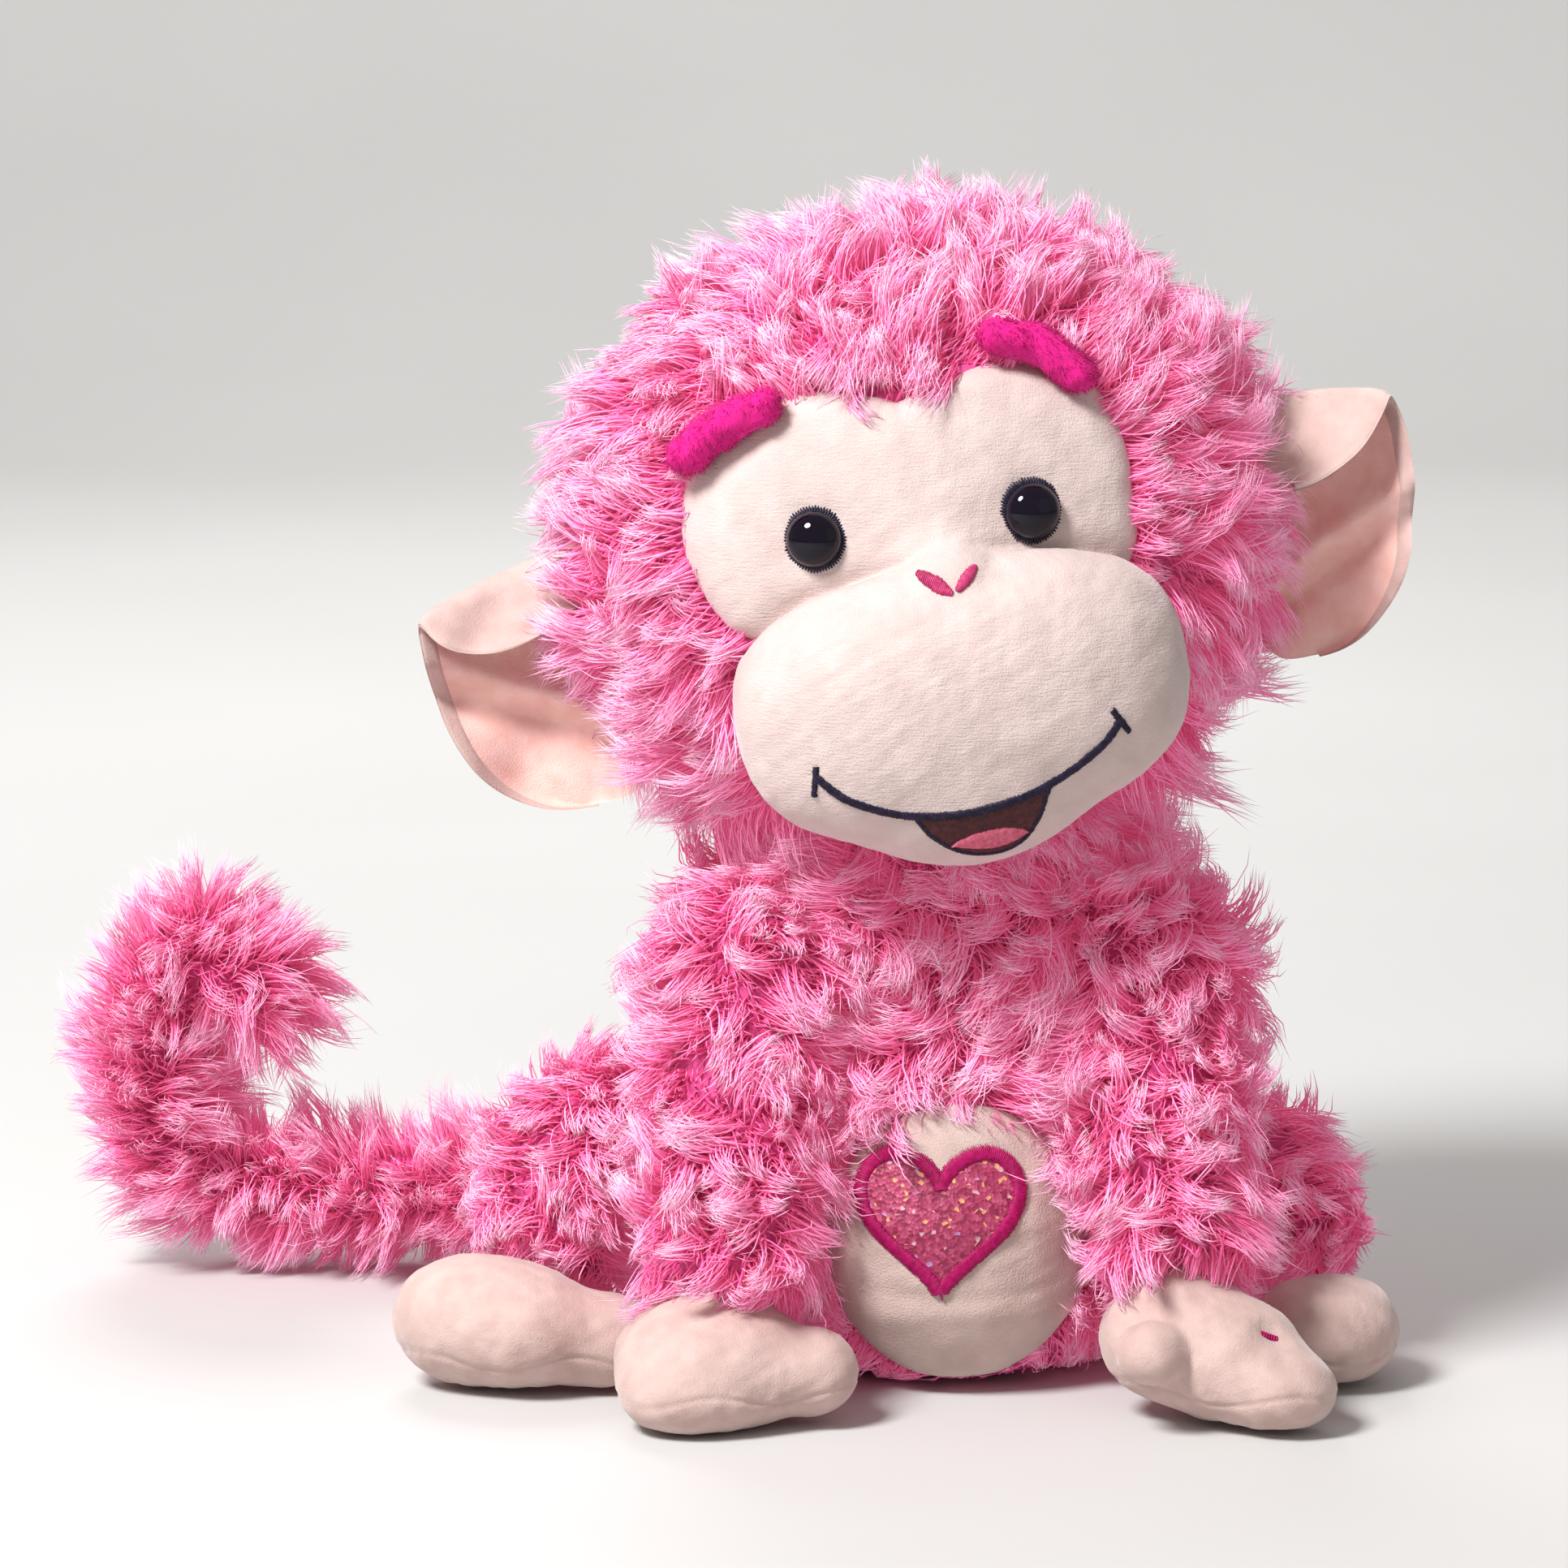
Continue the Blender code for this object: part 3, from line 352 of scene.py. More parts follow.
FUR = fur_material("fur_pink")
# The backing cloth under the fur is darker than the fur: painted shade, so the gaps between tufts read as
# shadow.
SKIN = plush_material("fur_backing_painted_shade", (0.46, 0.04, 0.17), (0.66, 0.08, 0.28), 0.95, 0.0, 700.0, 300.0, 0.8)
CREAM = plush_material("cream_plush", (0.51, 0.355, 0.32), (0.60, 0.435, 0.40))
FACE = knit_material("face_plush", (0.56, 0.435, 0.41), (0.64, 0.505, 0.48))
PEACH = plush_material("ear_lining", (0.80, 0.48, 0.41), (0.88, 0.61, 0.55))
BELLY = plush_material("belly_plush", (0.49, 0.365, 0.325), (0.58, 0.45, 0.41), 0.9, 0.3, 2200.0, 110.0, 0.5)
VELVET = plush_material("brow_velvet", (0.54, 0.001, 0.16), (0.74, 0.002, 0.24), 0.9, 0.06, 3500.0, 200.0)
MAGENTA = thread_material("magenta_thread", (0.28, 0.0, 0.065), (0.45, 0.003, 0.125))
ROSE = thread_material("rose_thread", (0.38, 0.02, 0.10), (0.54, 0.055, 0.17))
NAVY = thread_material("navy_thread", (0.005, 0.003, 0.013), (0.02, 0.012, 0.042))
MAROON = thread_material("maroon_thread", (0.035, 0.006, 0.008), (0.08, 0.014, 0.016))
TONGUE = thread_material("tongue_thread", (0.50, 0.08, 0.14), (0.68, 0.16, 0.24))
GLITTER = glitter_material("glitter_cloth")
GLOSS = gloss_material("eye_gloss")


# ---------------------------------------------------------------- joined round forms

def ball_distance(points, centre, half):
    """About the distance from an ellipsoid's surface, negative inside."""
    local = points - np.asarray(centre, float)
    half = np.asarray(half, float)
    length = np.linalg.norm(local / half, axis=-1)
    steep = np.linalg.norm(local / half ** 2, axis=-1)
    return length * (length - 1.0) / np.maximum(steep, 1e-6)


def soft_min(a, b, softness):
    mix = np.clip(0.5 + 0.5 * (b - a) / softness, 0.0, 1.0)
    return b + (a - b) * mix - softness * mix * (1.0 - mix)


def soft_max(a, b, softness):
    return -soft_min(-a, -b, softness)


def shell(centre, pole, distance, rows, sides, reach=110.0, last=180.0):
    """The surface of a form as seen from a point inside it: rays, each cut by halving."""
    axis = unit(pole)
    side = unit(np.cross(axis, (0.0, 0.3, 1.0) if abs(axis[2]) < 0.9 else (1.0, 0.0, 0.0)))
    across = np.cross(axis, side)
    polar = np.radians(np.linspace(last / rows * 0.4, last * (1.0 - 0.4 / rows), rows))[:, None, None]
    turn = full_turn(sides)[None, :, None]
    ways = np.cos(polar) * axis + np.sin(polar) * (np.cos(turn) * side + np.sin(turn) * across)
    steps = np.linspace(0.0, reach, 45)
    inside = np.stack([distance(centre + ways * step) < 0.0 for step in steps])
    first = np.argmin(inside, axis=0)
    low = steps[np.maximum(first - 1, 0)]
    high = steps[np.maximum(first, 1)]
    for _ in range(14):
        middle = 0.5 * (low + high)
        within = distance(centre + ways * middle[..., None]) < 0.0
        low = np.where(within, middle, low)
        high = np.where(within, high, middle)
    return centre + ways * low[..., None]


# ---------------------------------------------------------------- tubes

def smooth_path(points, radii, count):
    """Catmull-Rom points and radii along a path, evenly numbered."""
    points = np.asarray(points, float)
    values = np.concatenate([points, np.asarray(radii, float)[:, None]], axis=1)
    padded = np.concatenate([2.0 * values[:1] - values[1:2], values, 2.0 * values[-1:] - values[-2:-1]])
    spots = np.linspace(0.0, len(points) - 1.0, count)
    base = np.minimum(spots.astype(int), len(points) - 2)
    t = (spots - base)[:, None]
    p0, p1, p2, p3 = (padded[base + k] for k in range(4))
    curve = 0.5 * (2.0 * p1 + (p2 - p0) * t + (2.0 * p0 - 5.0 * p1 + 4.0 * p2 - p3) * t ** 2
                   + (3.0 * p1 - p0 - 3.0 * p2 + p3) * t ** 3)
    return curve[:, :3], curve[:, 3]


def tube_grid(path, radii, sides):
    tangents = unit(np.gradient(path, axis=0))
    normal = unit(np.cross(tangents[0], (0.31, 0.17, 0.93)))
    rings = []
    turn = full_turn(sides)
    for point, tangent, radius in zip(path, tangents, radii):
        normal = unit(normal - tangent * (normal @ tangent))
        across = np.cross(tangent, normal)
        rings.append(point + radius * (np.cos(turn)[:, None] * normal + np.sin(turn)[:, None] * across))
    return np.array(rings)

def round_ends(path, radii, start=True, end=True):
    """Add a half ball to one or both ends of a path."""
    angles = np.radians([82.0, 62.0, 40.0, 20.0])
    if start:
        way = unit(path[0] - path[1])
        path = np.concatenate([[path[0] + way * radii[0] * math.sin(a) for a in angles], path])
        radii = np.concatenate([radii[0] * np.cos(angles), radii])
    if end:
        way = unit(path[-1] - path[-2])
        path = np.concatenate([path, [path[-1] + way * radii[-1] * math.sin(a) for a in angles[::-1]]])
        radii = np.concatenate([radii, radii[-1] * np.cos(angles[::-1])])
    return path, radii


# ---------------------------------------------------------------- pile made of strands

@dataclass
class Coat:
    """How a coat of pile grows. Lengths are in millimetres, leans in degrees from upright."""

    length: float
    clump_area: float = 32.0
    per_clump: int = 34
    width: float = 0.50
    lean: tuple = (20.0, 74.0)
    curl: float = 1.5
    gather: float = 0.86
    swirl: float = 0.7
    swirl_size: float = 28.0
    rings: int = 4
    # tip is how far up the root-to-tip fur colours the strand tips reach. Below 1 keeps the strands in the
    # deep end, which is painted shade.
    tip: float = 1.0

# The undercoat's tips reach only halfway up the fur colours, so the short strands stay darker: painted shade
# under the long coat.
UNDERCOAT = Coat(8.5, clump_area=10.0, per_clump=4, width=0.60, lean=(25.0, 66.0), curl=0.8, gather=0.2,
                 swirl=0.3, swirl_size=20.0, rings=2, tip=0.5)


def scatter(verts, tris, area_each, rng):
    """Points spread evenly over a mesh, with their normals."""
    a, b, c = corners(verts, tris)
    areas = 0.5 * np.linalg.norm(np.cross(b - a, c - a), axis=1)
    count = max(int(areas.sum() / area_each), 1)
    places = (np.arange(count) + rng.uniform(0.0, 1.0, count)) / count
    chosen = np.minimum(np.searchsorted(np.cumsum(areas) / areas.sum(), places), len(tris) - 1)
    u, v = rng.uniform(size=(2, count))
    flip = u + v > 1.0
    u, v = np.where(flip, 1.0 - u, u), np.where(flip, 1.0 - v, v)
    weights = np.stack([1.0 - u - v, u, v], axis=1)[:, :, None]
    normals = vertex_normals(verts, tris)
    corner = tris[chosen]
    return (verts[corner] * weights).sum(1), unit((normals[corner] * weights).sum(1))


def turn_about(vectors, axes, angles):
    c, s = np.cos(angles)[:, None], np.sin(angles)[:, None]
    dot = np.einsum("ij,ij->i", vectors, axes)[:, None]
    return vectors * c + np.cross(axes, vectors) * s + axes * dot * (1.0 - c)


def flatten(vectors, normals):
    return unit(vectors - normals * np.einsum("ij,ij->i", vectors, normals)[:, None])


def comb_directions(places, normals, comb, coat, rng):
    """Way each tuft leans, the side it curls to, and how far it leans: the coat's own lie, turned
    into swirls round scattered centres where the pile stands up."""
    base = flatten(comb(places), normals)
    count = max(int(np.ptp(places, axis=0).max() ** 2 * 3.0 / coat.swirl_size ** 2), 4)
    centres = places[rng.choice(len(places), min(count, len(places)), replace=False)]
    kept = [centres[0]]
    for centre in centres[1:]:
        if np.linalg.norm(np.array(kept) - centre, axis=1).min() > 0.75 * coat.swirl_size:
            kept.append(centre)
    kept = np.array(kept)
    gaps = np.linalg.norm(places[:, None] - kept[None], axis=2)
    nearest = np.argmin(gaps, axis=1)
    distance = gaps[np.arange(len(places)), nearest]
    radial = flatten(places - kept[nearest] + 1e-4, normals)
    hand = np.where(rng.uniform(size=len(kept)) < 0.5, -1.0, 1.0)[nearest]
    whirl = turn_about(radial, normals, hand * rng.uniform(1.1, 1.7, len(kept))[nearest])
    weight = coat.swirl * np.exp(-(distance / (0.60 * coat.swirl_size)) ** 2)[:, None]
    way = flatten(base * (1.0 - weight) + whirl * weight, normals)
    core = np.exp(-(distance / (0.24 * coat.swirl_size)) ** 2)
    return turn_about(way, normals, rng.normal(0.0, 0.20 + 1.3 * core)), hand, 1.0 - 0.35 * core


STRAND_SIDES = (0.0, 2.0944, 4.18879)
LEAN_SPREADS = (8.0, 14.0)


def strand_curves(roots, normals, ways, lengths, lean, curl, rings):
    """Middle lines of strands that rise, bend over and curl. Shape (strands, rings + 1, 3)."""
    points = [roots]
    for step in range(rings):
        share = (step + 0.5) / rings
        angle = lean[:, 0] + (lean[:, 1] - lean[:, 0]) * share
        side = turn_about(ways, normals, curl * share)
        way = normals * np.cos(angle)[:, None] + side * np.sin(angle)[:, None]
        points.append(points[-1] + way * (lengths / rings)[:, None])
    return np.stack(points, axis=1)


def strand_mesh(curves, widths, tones, tip=1.0):
    """Closed three-sided tapered tubes round the middle lines, with tone and height as UV."""
    count, levels = curves.shape[:2]
    body = levels - 1
    tangent = unit(np.gradient(curves, axis=1))
    normal = unit(np.cross(tangent[:, 0], np.array([0.37, 0.21, 0.9])))
    offsets = []
    taper = 1.0 - 0.75 * (np.arange(body) / body) ** 1.6
    for level in range(body):
        across = unit(np.cross(tangent[:, level], normal))
        square = np.cross(across, tangent[:, level])
        half = (widths * 0.5 * taper[level])[:, None]
        for a in STRAND_SIDES:
            offsets.append(curves[:, level] + (square * math.cos(a) + across * math.sin(a)) * half)
    verts = np.stack(offsets + [curves[:, -1]], axis=1)
    each = body * 3 + 1
    tris = [[0, 2, 1]]
    for level in range(body - 1):
        for k in range(3):
            a, b = level * 3 + k, level * 3 + (k + 1) % 3
            tris += [[a, b, b + 3], [a, b + 3, a + 3]]
    last = (body - 1) * 3
    tris += [[last + k, last + (k + 1) % 3, each - 1] for k in range(3)]
    tris = (np.arange(count)[:, None, None] * each + np.array(tris)[None]).reshape(-1, 3)
    height = np.concatenate([np.repeat(np.arange(body) / body, 3), [1.0]]) * tip
    uv = np.stack([np.repeat(tones, each), np.tile(height, count)], axis=1)
    return verts.reshape(-1, 3), tris, np.clip(uv, 0.01, 0.99)


def grow(verts, tris, coat, comb, seed, keep=None, stretch=None):
    """Strands in tufts on a skin. keep says where pile grows, stretch scales its length by place."""
    rng = np.random.default_rng(seed)
    places, normals = scatter(verts, tris, coat.clump_area / FUR_SHARE, rng)
    if keep is not None:
        kept = keep(places)
        places, normals = places[kept], normals[kept]
    ways, hand, upright = comb_directions(places, normals, comb, coat, rng)
    count = len(places)
    tufts = rng.uniform(0.72, 1.22, count) * coat.length
    tufts = tufts * (1.0 + 0.24 * ripple(places, 23.0, seed + 2, 2))
    if stretch is not None:
        tufts = tufts * stretch(places)
    lean = [rng.normal(angle, spread, count) for angle, spread in zip(coat.lean, LEAN_SPREADS)]
    lean = np.radians(np.stack(lean, 1)) * upright[:, None]
    curl = hand * coat.curl * rng.uniform(0.5, 1.2, count) + rng.normal(0.0, 0.35, count)
    tone = np.clip(0.5 + 0.28 * ripple(places, 26.0, seed + 1, 2) + rng.normal(0.0, 0.16, count), 0.0, 1.0)
    n = coat.per_clump
    index = np.repeat(np.arange(count), n)
    spread = 0.50 * math.sqrt(coat.clump_area / FUR_SHARE)
    jitter = rng.normal(0.0, spread, (count * n, 3))
    jitter -= normals[index] * np.einsum("ij,ij->i", jitter, normals[index])[:, None]
    loose = rng.uniform(size=count * n) < 0.06
    lengths = tufts[index] * rng.uniform(0.72, 1.08, count * n) * np.where(loose, 1.08, 1.0)
    wild = np.where(loose, 3.0, 1.0)
    own_lean = lean[index] + rng.normal(0.0, 0.07, (count * n, 2)) * wild[:, None]
    own_ways = turn_about(ways[index], normals[index], rng.normal(0.0, 0.11, count * n) * wild)
    own_curl = curl[index] + rng.normal(0.0, 0.15, count * n)
    roots = places[index] - normals[index] * 0.8
    curves = strand_curves(roots, normals[index], own_ways, lengths, own_lean, own_curl, coat.rings)
    share = np.linspace(0.0, 1.0, coat.rings + 1)[None, :, None]
    gather = np.where(loose, 0.1, coat.gather)[:, None, None]
    curves = curves + jitter[:, None, :] * (1.0 - gather * share ** 0.8)
    widths = coat.width * rng.uniform(0.7, 1.25, count * n)
    tones = np.clip(tone[index] + rng.normal(0.0, 0.10, count * n), 0.0, 1.0)
    return strand_mesh(curves, widths, tones, coat.tip)


MAX_STRAND_TRIS = 190000
GROUND_GAP = 0.3
GROUND_SOFTNESS = 2.7
BACK_LIMIT = 97.0
LEFT_LIMIT = 208.0
SIDE_SOFTNESS = 5.0
TOP_LIMIT = 266.0
TOP_SOFTNESS = 8.0


def pushed_back(places, limit, softness):
    """How far to move places so that they pass a limit by less than the softness."""
    far = np.maximum(places - limit, 0.0)
    return softness * (1.0 - np.exp(-far / softness)) - far


def within_bounds(verts):
    """Press strands that reach below the ground, or far behind, left or up, back within bounds."""
    verts = verts.copy()
    low = np.minimum(verts[:, 2], GROUND_GAP + GROUND_SOFTNESS)
    depth = (low - GROUND_GAP - GROUND_SOFTNESS) / GROUND_SOFTNESS
    verts[:, 2] += GROUND_GAP + GROUND_SOFTNESS * np.exp(depth) - low
    verts[:, 1] += pushed_back(verts[:, 1], BACK_LIMIT, SIDE_SOFTNESS)
    verts[:, 0] -= pushed_back(-verts[:, 0], LEFT_LIMIT, SIDE_SOFTNESS)
    verts[:, 2] += pushed_back(verts[:, 2], TOP_LIMIT, TOP_SOFTNESS)
    return verts


def fur_pieces(name, data, rings, body):
    """Split a coat into pieces of whole strands, and place each of them on its body."""
    verts, tris, uv = data
    strand_verts, strand_tris = 3 * rings + 1, 6 * rings - 2
    pieces = max(math.ceil(len(tris) / MAX_STRAND_TRIS), 1)
    total = len(tris) // strand_tris
    for number in range(pieces):
        low = total * number // pieces
        high = total * (number + 1) // pieces
        own = slice(low * strand_verts, high * strand_verts)
        own_tris = tris[low * strand_tris:high * strand_tris] - low * strand_verts
        label = name if pieces == 1 else f"{name}_{number + 1}"
        data = (within_bounds(verts[own]), own_tris)
        make_piece(label, data, FUR, body, "long_pile_plush", uv=uv[own])


def unmoved(points):
    return points


def furry(name, skin, coat, comb, seed, body, nodes, keep=None, stretch=None, shift=unmoved):
    """A backing cloth, coloured dark as painted shade between the tufts, with long tufts over a short
    undercoat, grown on a skin of verts and triangles.
    """
    verts, tris = skin
    make_piece(name + "_skin", (shift(verts), tris), SKIN, body, "long_pile_plush", *nodes)
    for label, kind, own_seed in (("_fur", coat, seed), ("_undercoat", UNDERCOAT, seed + 500)):
        points, faces, uv = grow(verts, tris, kind, comb, own_seed, keep, stretch)
        fur_pieces(name + label, (shift(points), faces, uv), kind.rings, body)

# ---------------------------------------------------------------- body

SKIN_INSET = 4.0
BODY_PLACE = np.array((-3.0, 3.0, 0.0))
BODY_HEIGHTS = (0.0, 5.0, 20.0, 40.0, 60.0, 80.0, 96.0, 106.0, 116.0, 124.0)
BODY_HALF = (36.0, 45.0, 51.0, 51.0, 48.0, 49.0, 54.0, 55.0, 46.0, 24.0)
BODY_FRONT = (40.0, 50.0, 56.0, 57.0, 52.0, 45.0, 42.0, 38.0, 30.0, 16.0)
BODY_BACK = (38.0, 47.0, 54.0, 54.0, 50.0, 46.0, 45.0, 42.0, 34.0, 18.0)
PATCH_MIDDLE = -0.5
PATCH_HEIGHT = 35.0
PATCH_HALF = (29.0, 31.0)


def body_grid(heights, sides):
    turn = full_turn(sides)
    rows = []
    for height in heights:
        half, front, back = (np.interp(height, BODY_HEIGHTS, form) - SKIN_INSET
                             for form in (BODY_HALF, BODY_FRONT, BODY_BACK))
        reach = np.where(np.cos(turn) > 0.0, back, front)
        row = np.stack([half * np.sin(turn), reach * np.cos(turn), np.full(sides, height)], -1)
        rows.append(BODY_PLACE + row)
    return np.array(rows)

def body_front(x, z, offset):
    """Points in front of the body's cover, at a distance from it."""
    x, z = np.broadcast_arrays(np.asarray(x, float), np.asarray(z, float))
    half = np.interp(z, BODY_HEIGHTS, BODY_HALF)
    front = np.interp(z, BODY_HEIGHTS, BODY_FRONT)
    across = np.clip((x - BODY_PLACE[0]) / half, -0.98, 0.98)
    depth = np.sqrt(1.0 - across ** 2)
    out = unit(np.stack([across / half, -depth / front, np.zeros_like(x)], -1))
    base = np.stack([x, BODY_PLACE[1] - front * depth, z], -1)
    return base + out * np.asarray(offset)[..., None]


def in_patch(points, scale):
    x = (points[:, 0] - PATCH_MIDDLE) / (PATCH_HALF[0] * scale)
    z = (points[:, 2] - PATCH_HEIGHT) / (PATCH_HALF[1] * scale)
    return (x * x + z * z < 1.0) & (points[:, 1] < 0.0)


def downward(points):
    lie = np.zeros_like(points)
    lie[:, 2] = -1.0
    lie[:, 0] = 0.004 * (points[:, 0] - BODY_PLACE[0])
    return lie


def build_body():
    heights = np.concatenate([[2.5, 4.0, 7.0], np.arange(10.0, 123.0, 3.0)])
    verts, tris = grid_mesh(body_grid(heights, 90))
    verts = roughen(verts, tris, 0.8, 24.0, 11)
    verts[:, 2] = np.maximum(verts[:, 2], 0.6)

    def keep(points):
        hidden = in_patch(points, 0.93) | (points[:, 2] < 3.0)
        return ~hidden

    def stretch(points):
        low = np.clip((points[:, 2] - 2.0) / 12.0, 0.3, 1.0)
        near = in_patch(points, 1.35) & (points[:, 2] < PATCH_HEIGHT + 10.0)
        return low * np.where(near, 0.7, 1.0)

    coat = Coat(18.5, lean=(22.0, 88.0), curl=1.9, swirl=0.95)
    furry("body", (verts, tris), coat, downward, 21, "body", ("body_cover", "body_stuffing", "pellet_bag"),
          keep, stretch)


def build_belly():
    """The patch: a puffed oval with one shallow crease, cut off level near the ground."""
    rings, sides = 22, 96
    share = np.concatenate([np.linspace(0.04, 0.92, rings), [0.97, 1.0, 1.0]])[:, None]
    turn = full_turn(sides)[None, :]
    x = PATCH_MIDDLE + PATCH_HALF[0] * share * np.cos(turn)
    z = PATCH_HEIGHT + PATCH_HALF[1] * share * np.sin(turn)
    z = np.maximum(z, 3.0)
    fall = np.clip(1.0 - share ** 4, 0.0, 1.0)
    level = (z - 24.0 - 0.006 * (x - PATCH_MIDDLE) ** 2) / 1.6
    crease = -0.5 * np.exp(-level ** 2) * (np.abs(x - PATCH_MIDDLE) < 22.0)
    puff = 3.2 * fall + crease * fall + 0.25 * ripple(np.stack([x, z, z * 0.0], -1), 9.0, 5)
    puff[-1] = -2.5
    front = body_front(x, z, 0.4 + puff)
    back = body_front(x[::-1], z[::-1], np.full(x.shape, -2.5))
    verts, tris = grid_mesh(np.concatenate([front, back[1:]]))
    verts[:, 2] = np.maximum(verts[:, 2], 0.8)
    make_piece("belly_plush", (verts, tris), BELLY, "body", "belly_plush", "belly_patch")


# ---------------------------------------------------------------- heart and other stitching

HEART_CENTRE = (-4.5, 41.0)
HEART_HALF = (17.5, 16.5)
HEART_LIFT = 3.5
HEART_BLUNTNESS = 2.5
HEART_FILL_INSET = 1.4
HEART_STITCH_INSET = 1.3
# Satin threads of the heart's border and of the lines on the face
THREAD_WIDTH = 0.55
THREAD_SPACING = 0.42


def heart_curve(turn, inset):
    wave = np.sin(turn)
    x = (HEART_HALF[0] - inset) * np.sign(wave) * np.abs(wave) ** HEART_BLUNTNESS
    z = (HEART_HALF[1] - inset) * (13.0 * np.cos(turn) - 5.0 * np.cos(2.0 * turn) - 2.0 * np.cos(3.0 * turn)
                                   - np.cos(4.0 * turn) + 2.5) / 14.4
    return HEART_CENTRE[0] + x, HEART_CENTRE[1] + z


def stitches(middles, runs, outs, lengths, width, height):
    """Satin stitches: short closed threads that arch over the cloth."""
    levels, sides = 7, 6
    share = np.linspace(-1.0, 1.0, levels)
    verts = []
    turn = full_turn(sides)
    across = unit(np.cross(runs, outs))
    lengths = np.broadcast_to(lengths, len(middles))
    for s in share:
        lift = height * (1.0 - s ** 4) - 0.35
        size = width * 0.5 * (1.0 - 0.65 * abs(s) ** 3)
        centre = middles + runs * (0.5 * lengths * s)[:, None] + outs * lift
        for a in turn:
            verts.append(centre + across * size * math.cos(a) + outs * size * 0.8 * math.sin(a))
    verts = np.stack(verts, axis=1)
    each = levels * sides
    tris = [[0, k + 1, k] for k in range(1, sides - 1)]
    for level in range(levels - 1):
        for k in range(sides):
            a, b = level * sides + k, level * sides + (k + 1) % sides
            tris += [[a, b, b + sides], [a, b + sides, a + sides]]
    top = (levels - 1) * sides
    tris += [[top, top + k, top + k + 1] for k in range(1, sides - 1)]
    tris = np.array(tris)
    sample = outward(verts[0] - verts[0].mean(0), tris)
    tris = (np.arange(len(verts))[:, None, None] * each + sample[None]).reshape(-1, 3)
    return verts.reshape(-1, 3), tris


def line_stitches(points, outs, length, height, slant, rng):
    """Satin stitches laid across a line of points."""
    gaps = np.linalg.norm(np.diff(points, axis=0), axis=1)
    travel = np.concatenate([[0.0], np.cumsum(gaps)])
    count = max(int(travel[-1] / THREAD_SPACING), 2)
    spots = np.linspace(0.0, travel[-1], count)
    middles = np.stack([np.interp(spots, travel, points[:, k]) for k in range(3)], -1)
    out = unit(np.stack([np.interp(spots, travel, outs[:, k]) for k in range(3)], -1))
    along = unit(np.gradient(middles, axis=0))
    run = unit(np.cross(out, along))
    run = turn_about(unit(np.cross(out, along)), out, np.full(count, slant))
    lengths = np.full(count, length) * rng.uniform(0.92, 1.1, count)
    middles = middles + run * rng.normal(0.0, 0.05, (count, 1))
    return stitches(middles, run, out, lengths, THREAD_WIDTH, height)

def surface_outs(surface, x, z):
    """Outward ways of a surface given as points for (x, z)."""
    step = 0.4
    dx = surface(x + step, z) - surface(x - step, z)
    dz = surface(x, z + step) - surface(x, z - step)
    return unit(np.cross(dx, dz))


def build_heart():
    def cloth(x, z, lift=0.0):
        return body_front(x, z, np.full(np.shape(x), HEART_LIFT + lift))

    turn = np.linspace(0.0, 2.0 * math.pi, 140, endpoint=False)
    x, z = heart_curve(turn, HEART_FILL_INSET)
    rows = []
    for share in np.concatenate([np.linspace(0.03, 1.0, 26), [1.0]]):
        row_x = HEART_CENTRE[0] + (x - HEART_CENTRE[0]) * share
        row_z = HEART_CENTRE[1] + (z - HEART_CENTRE[1]) * share
        rows.append(cloth(row_x, row_z, 0.7 * (1.0 - share ** 3)))
    rows[-1] = rows[-1] + np.array([0.0, 4.0, 0.0])
    make_piece("heart_glitter", grid_mesh(np.array(rows)), GLITTER, "body", "glitter_fabric", "heart_fill")
    x, z = heart_curve(np.linspace(0.0, 2.0 * math.pi, 700), HEART_STITCH_INSET)
    outs = -surface_outs(cloth, x, z)
    outs = outs * np.sign(-outs[:, 1:2])
    data = line_stitches(cloth(x, z), outs, 3.9, 1.1, 0.12, np.random.default_rng(41))
    make_piece("heart_stitching", data, MAGENTA, "body", "pink_thread", "heart_border")

# ---------------------------------------------------------------- head

HEAD_FRONT = 58.0
HEAD_BACK = 62.0
HEAD_HALF_X = 74.0
HEAD_HALF_Z = 65.0
FACE_HALF = (45.5, 39.5)
FACE_FRONT = 60.0
FACE_DISH = 10.0
MUZZLE_CENTRE = np.array((0.0, -52.0, -30.0))
MUZZLE_HALF = np.array((49.5, 29.0, 31.0))
MUZZLE_FULLNESS = 2.5
EYES = {"left": (-24.8, 9.4), "right": (21.8, 6.4)}
FACE_RIM = ((0.0, 0.98), (8.0, 1.0), (21.0, 1.07), (40.0, 1.17), (54.0, 1.12), (67.0, 1.04), (78.0, 0.95),
            (93.0, 0.86), (108.0, 1.02), (122.0, 1.18), (138.0, 1.29), (151.0, 1.25), (160.0, 1.22),
            (171.0, 1.17), (183.0, 1.09), (198.0, 0.99), (215.0, 0.98), (360.0, 0.98))


def face_rim(x, z):
    """The face cloth's outline as a share of its oval: two lobes on top with a peak between."""
    turn = np.degrees(np.arctan2(z / FACE_HALF[1], x / FACE_HALF[0])) % 360.0
    places, shares = zip(*FACE_RIM)
    return np.hypot(x / FACE_HALF[0], z / FACE_HALF[1]) / np.interp(turn, places, shares)


def face_depth(x, z):
    """How far forward the face cloth stands, dented at the eyes."""
    share = (x / FACE_HALF[0]) ** 2 + (z / FACE_HALF[1]) ** 2
    depth = FACE_FRONT + 1.0 - FACE_DISH * share - 6.0 * np.maximum(share - 1.0, 0.0)
    for eye_x, eye_z in EYES.values():
        gap = np.hypot(x - eye_x, z - eye_z)
        depth = depth - 1.5 * np.exp(-(gap / 8.0) ** 2)
    depth = depth + 0.9 * np.exp(-((x - 1.0) / 7.0) ** 2 - ((z - 2.0) / 9.0) ** 2)
    return depth


def muzzle_distance(p):
    q = np.abs(p - MUZZLE_CENTRE) / MUZZLE_HALF
    share = (q ** MUZZLE_FULLNESS).sum(-1) ** (1.0 / MUZZLE_FULLNESS)
    return (share - 1.0) * 30.0


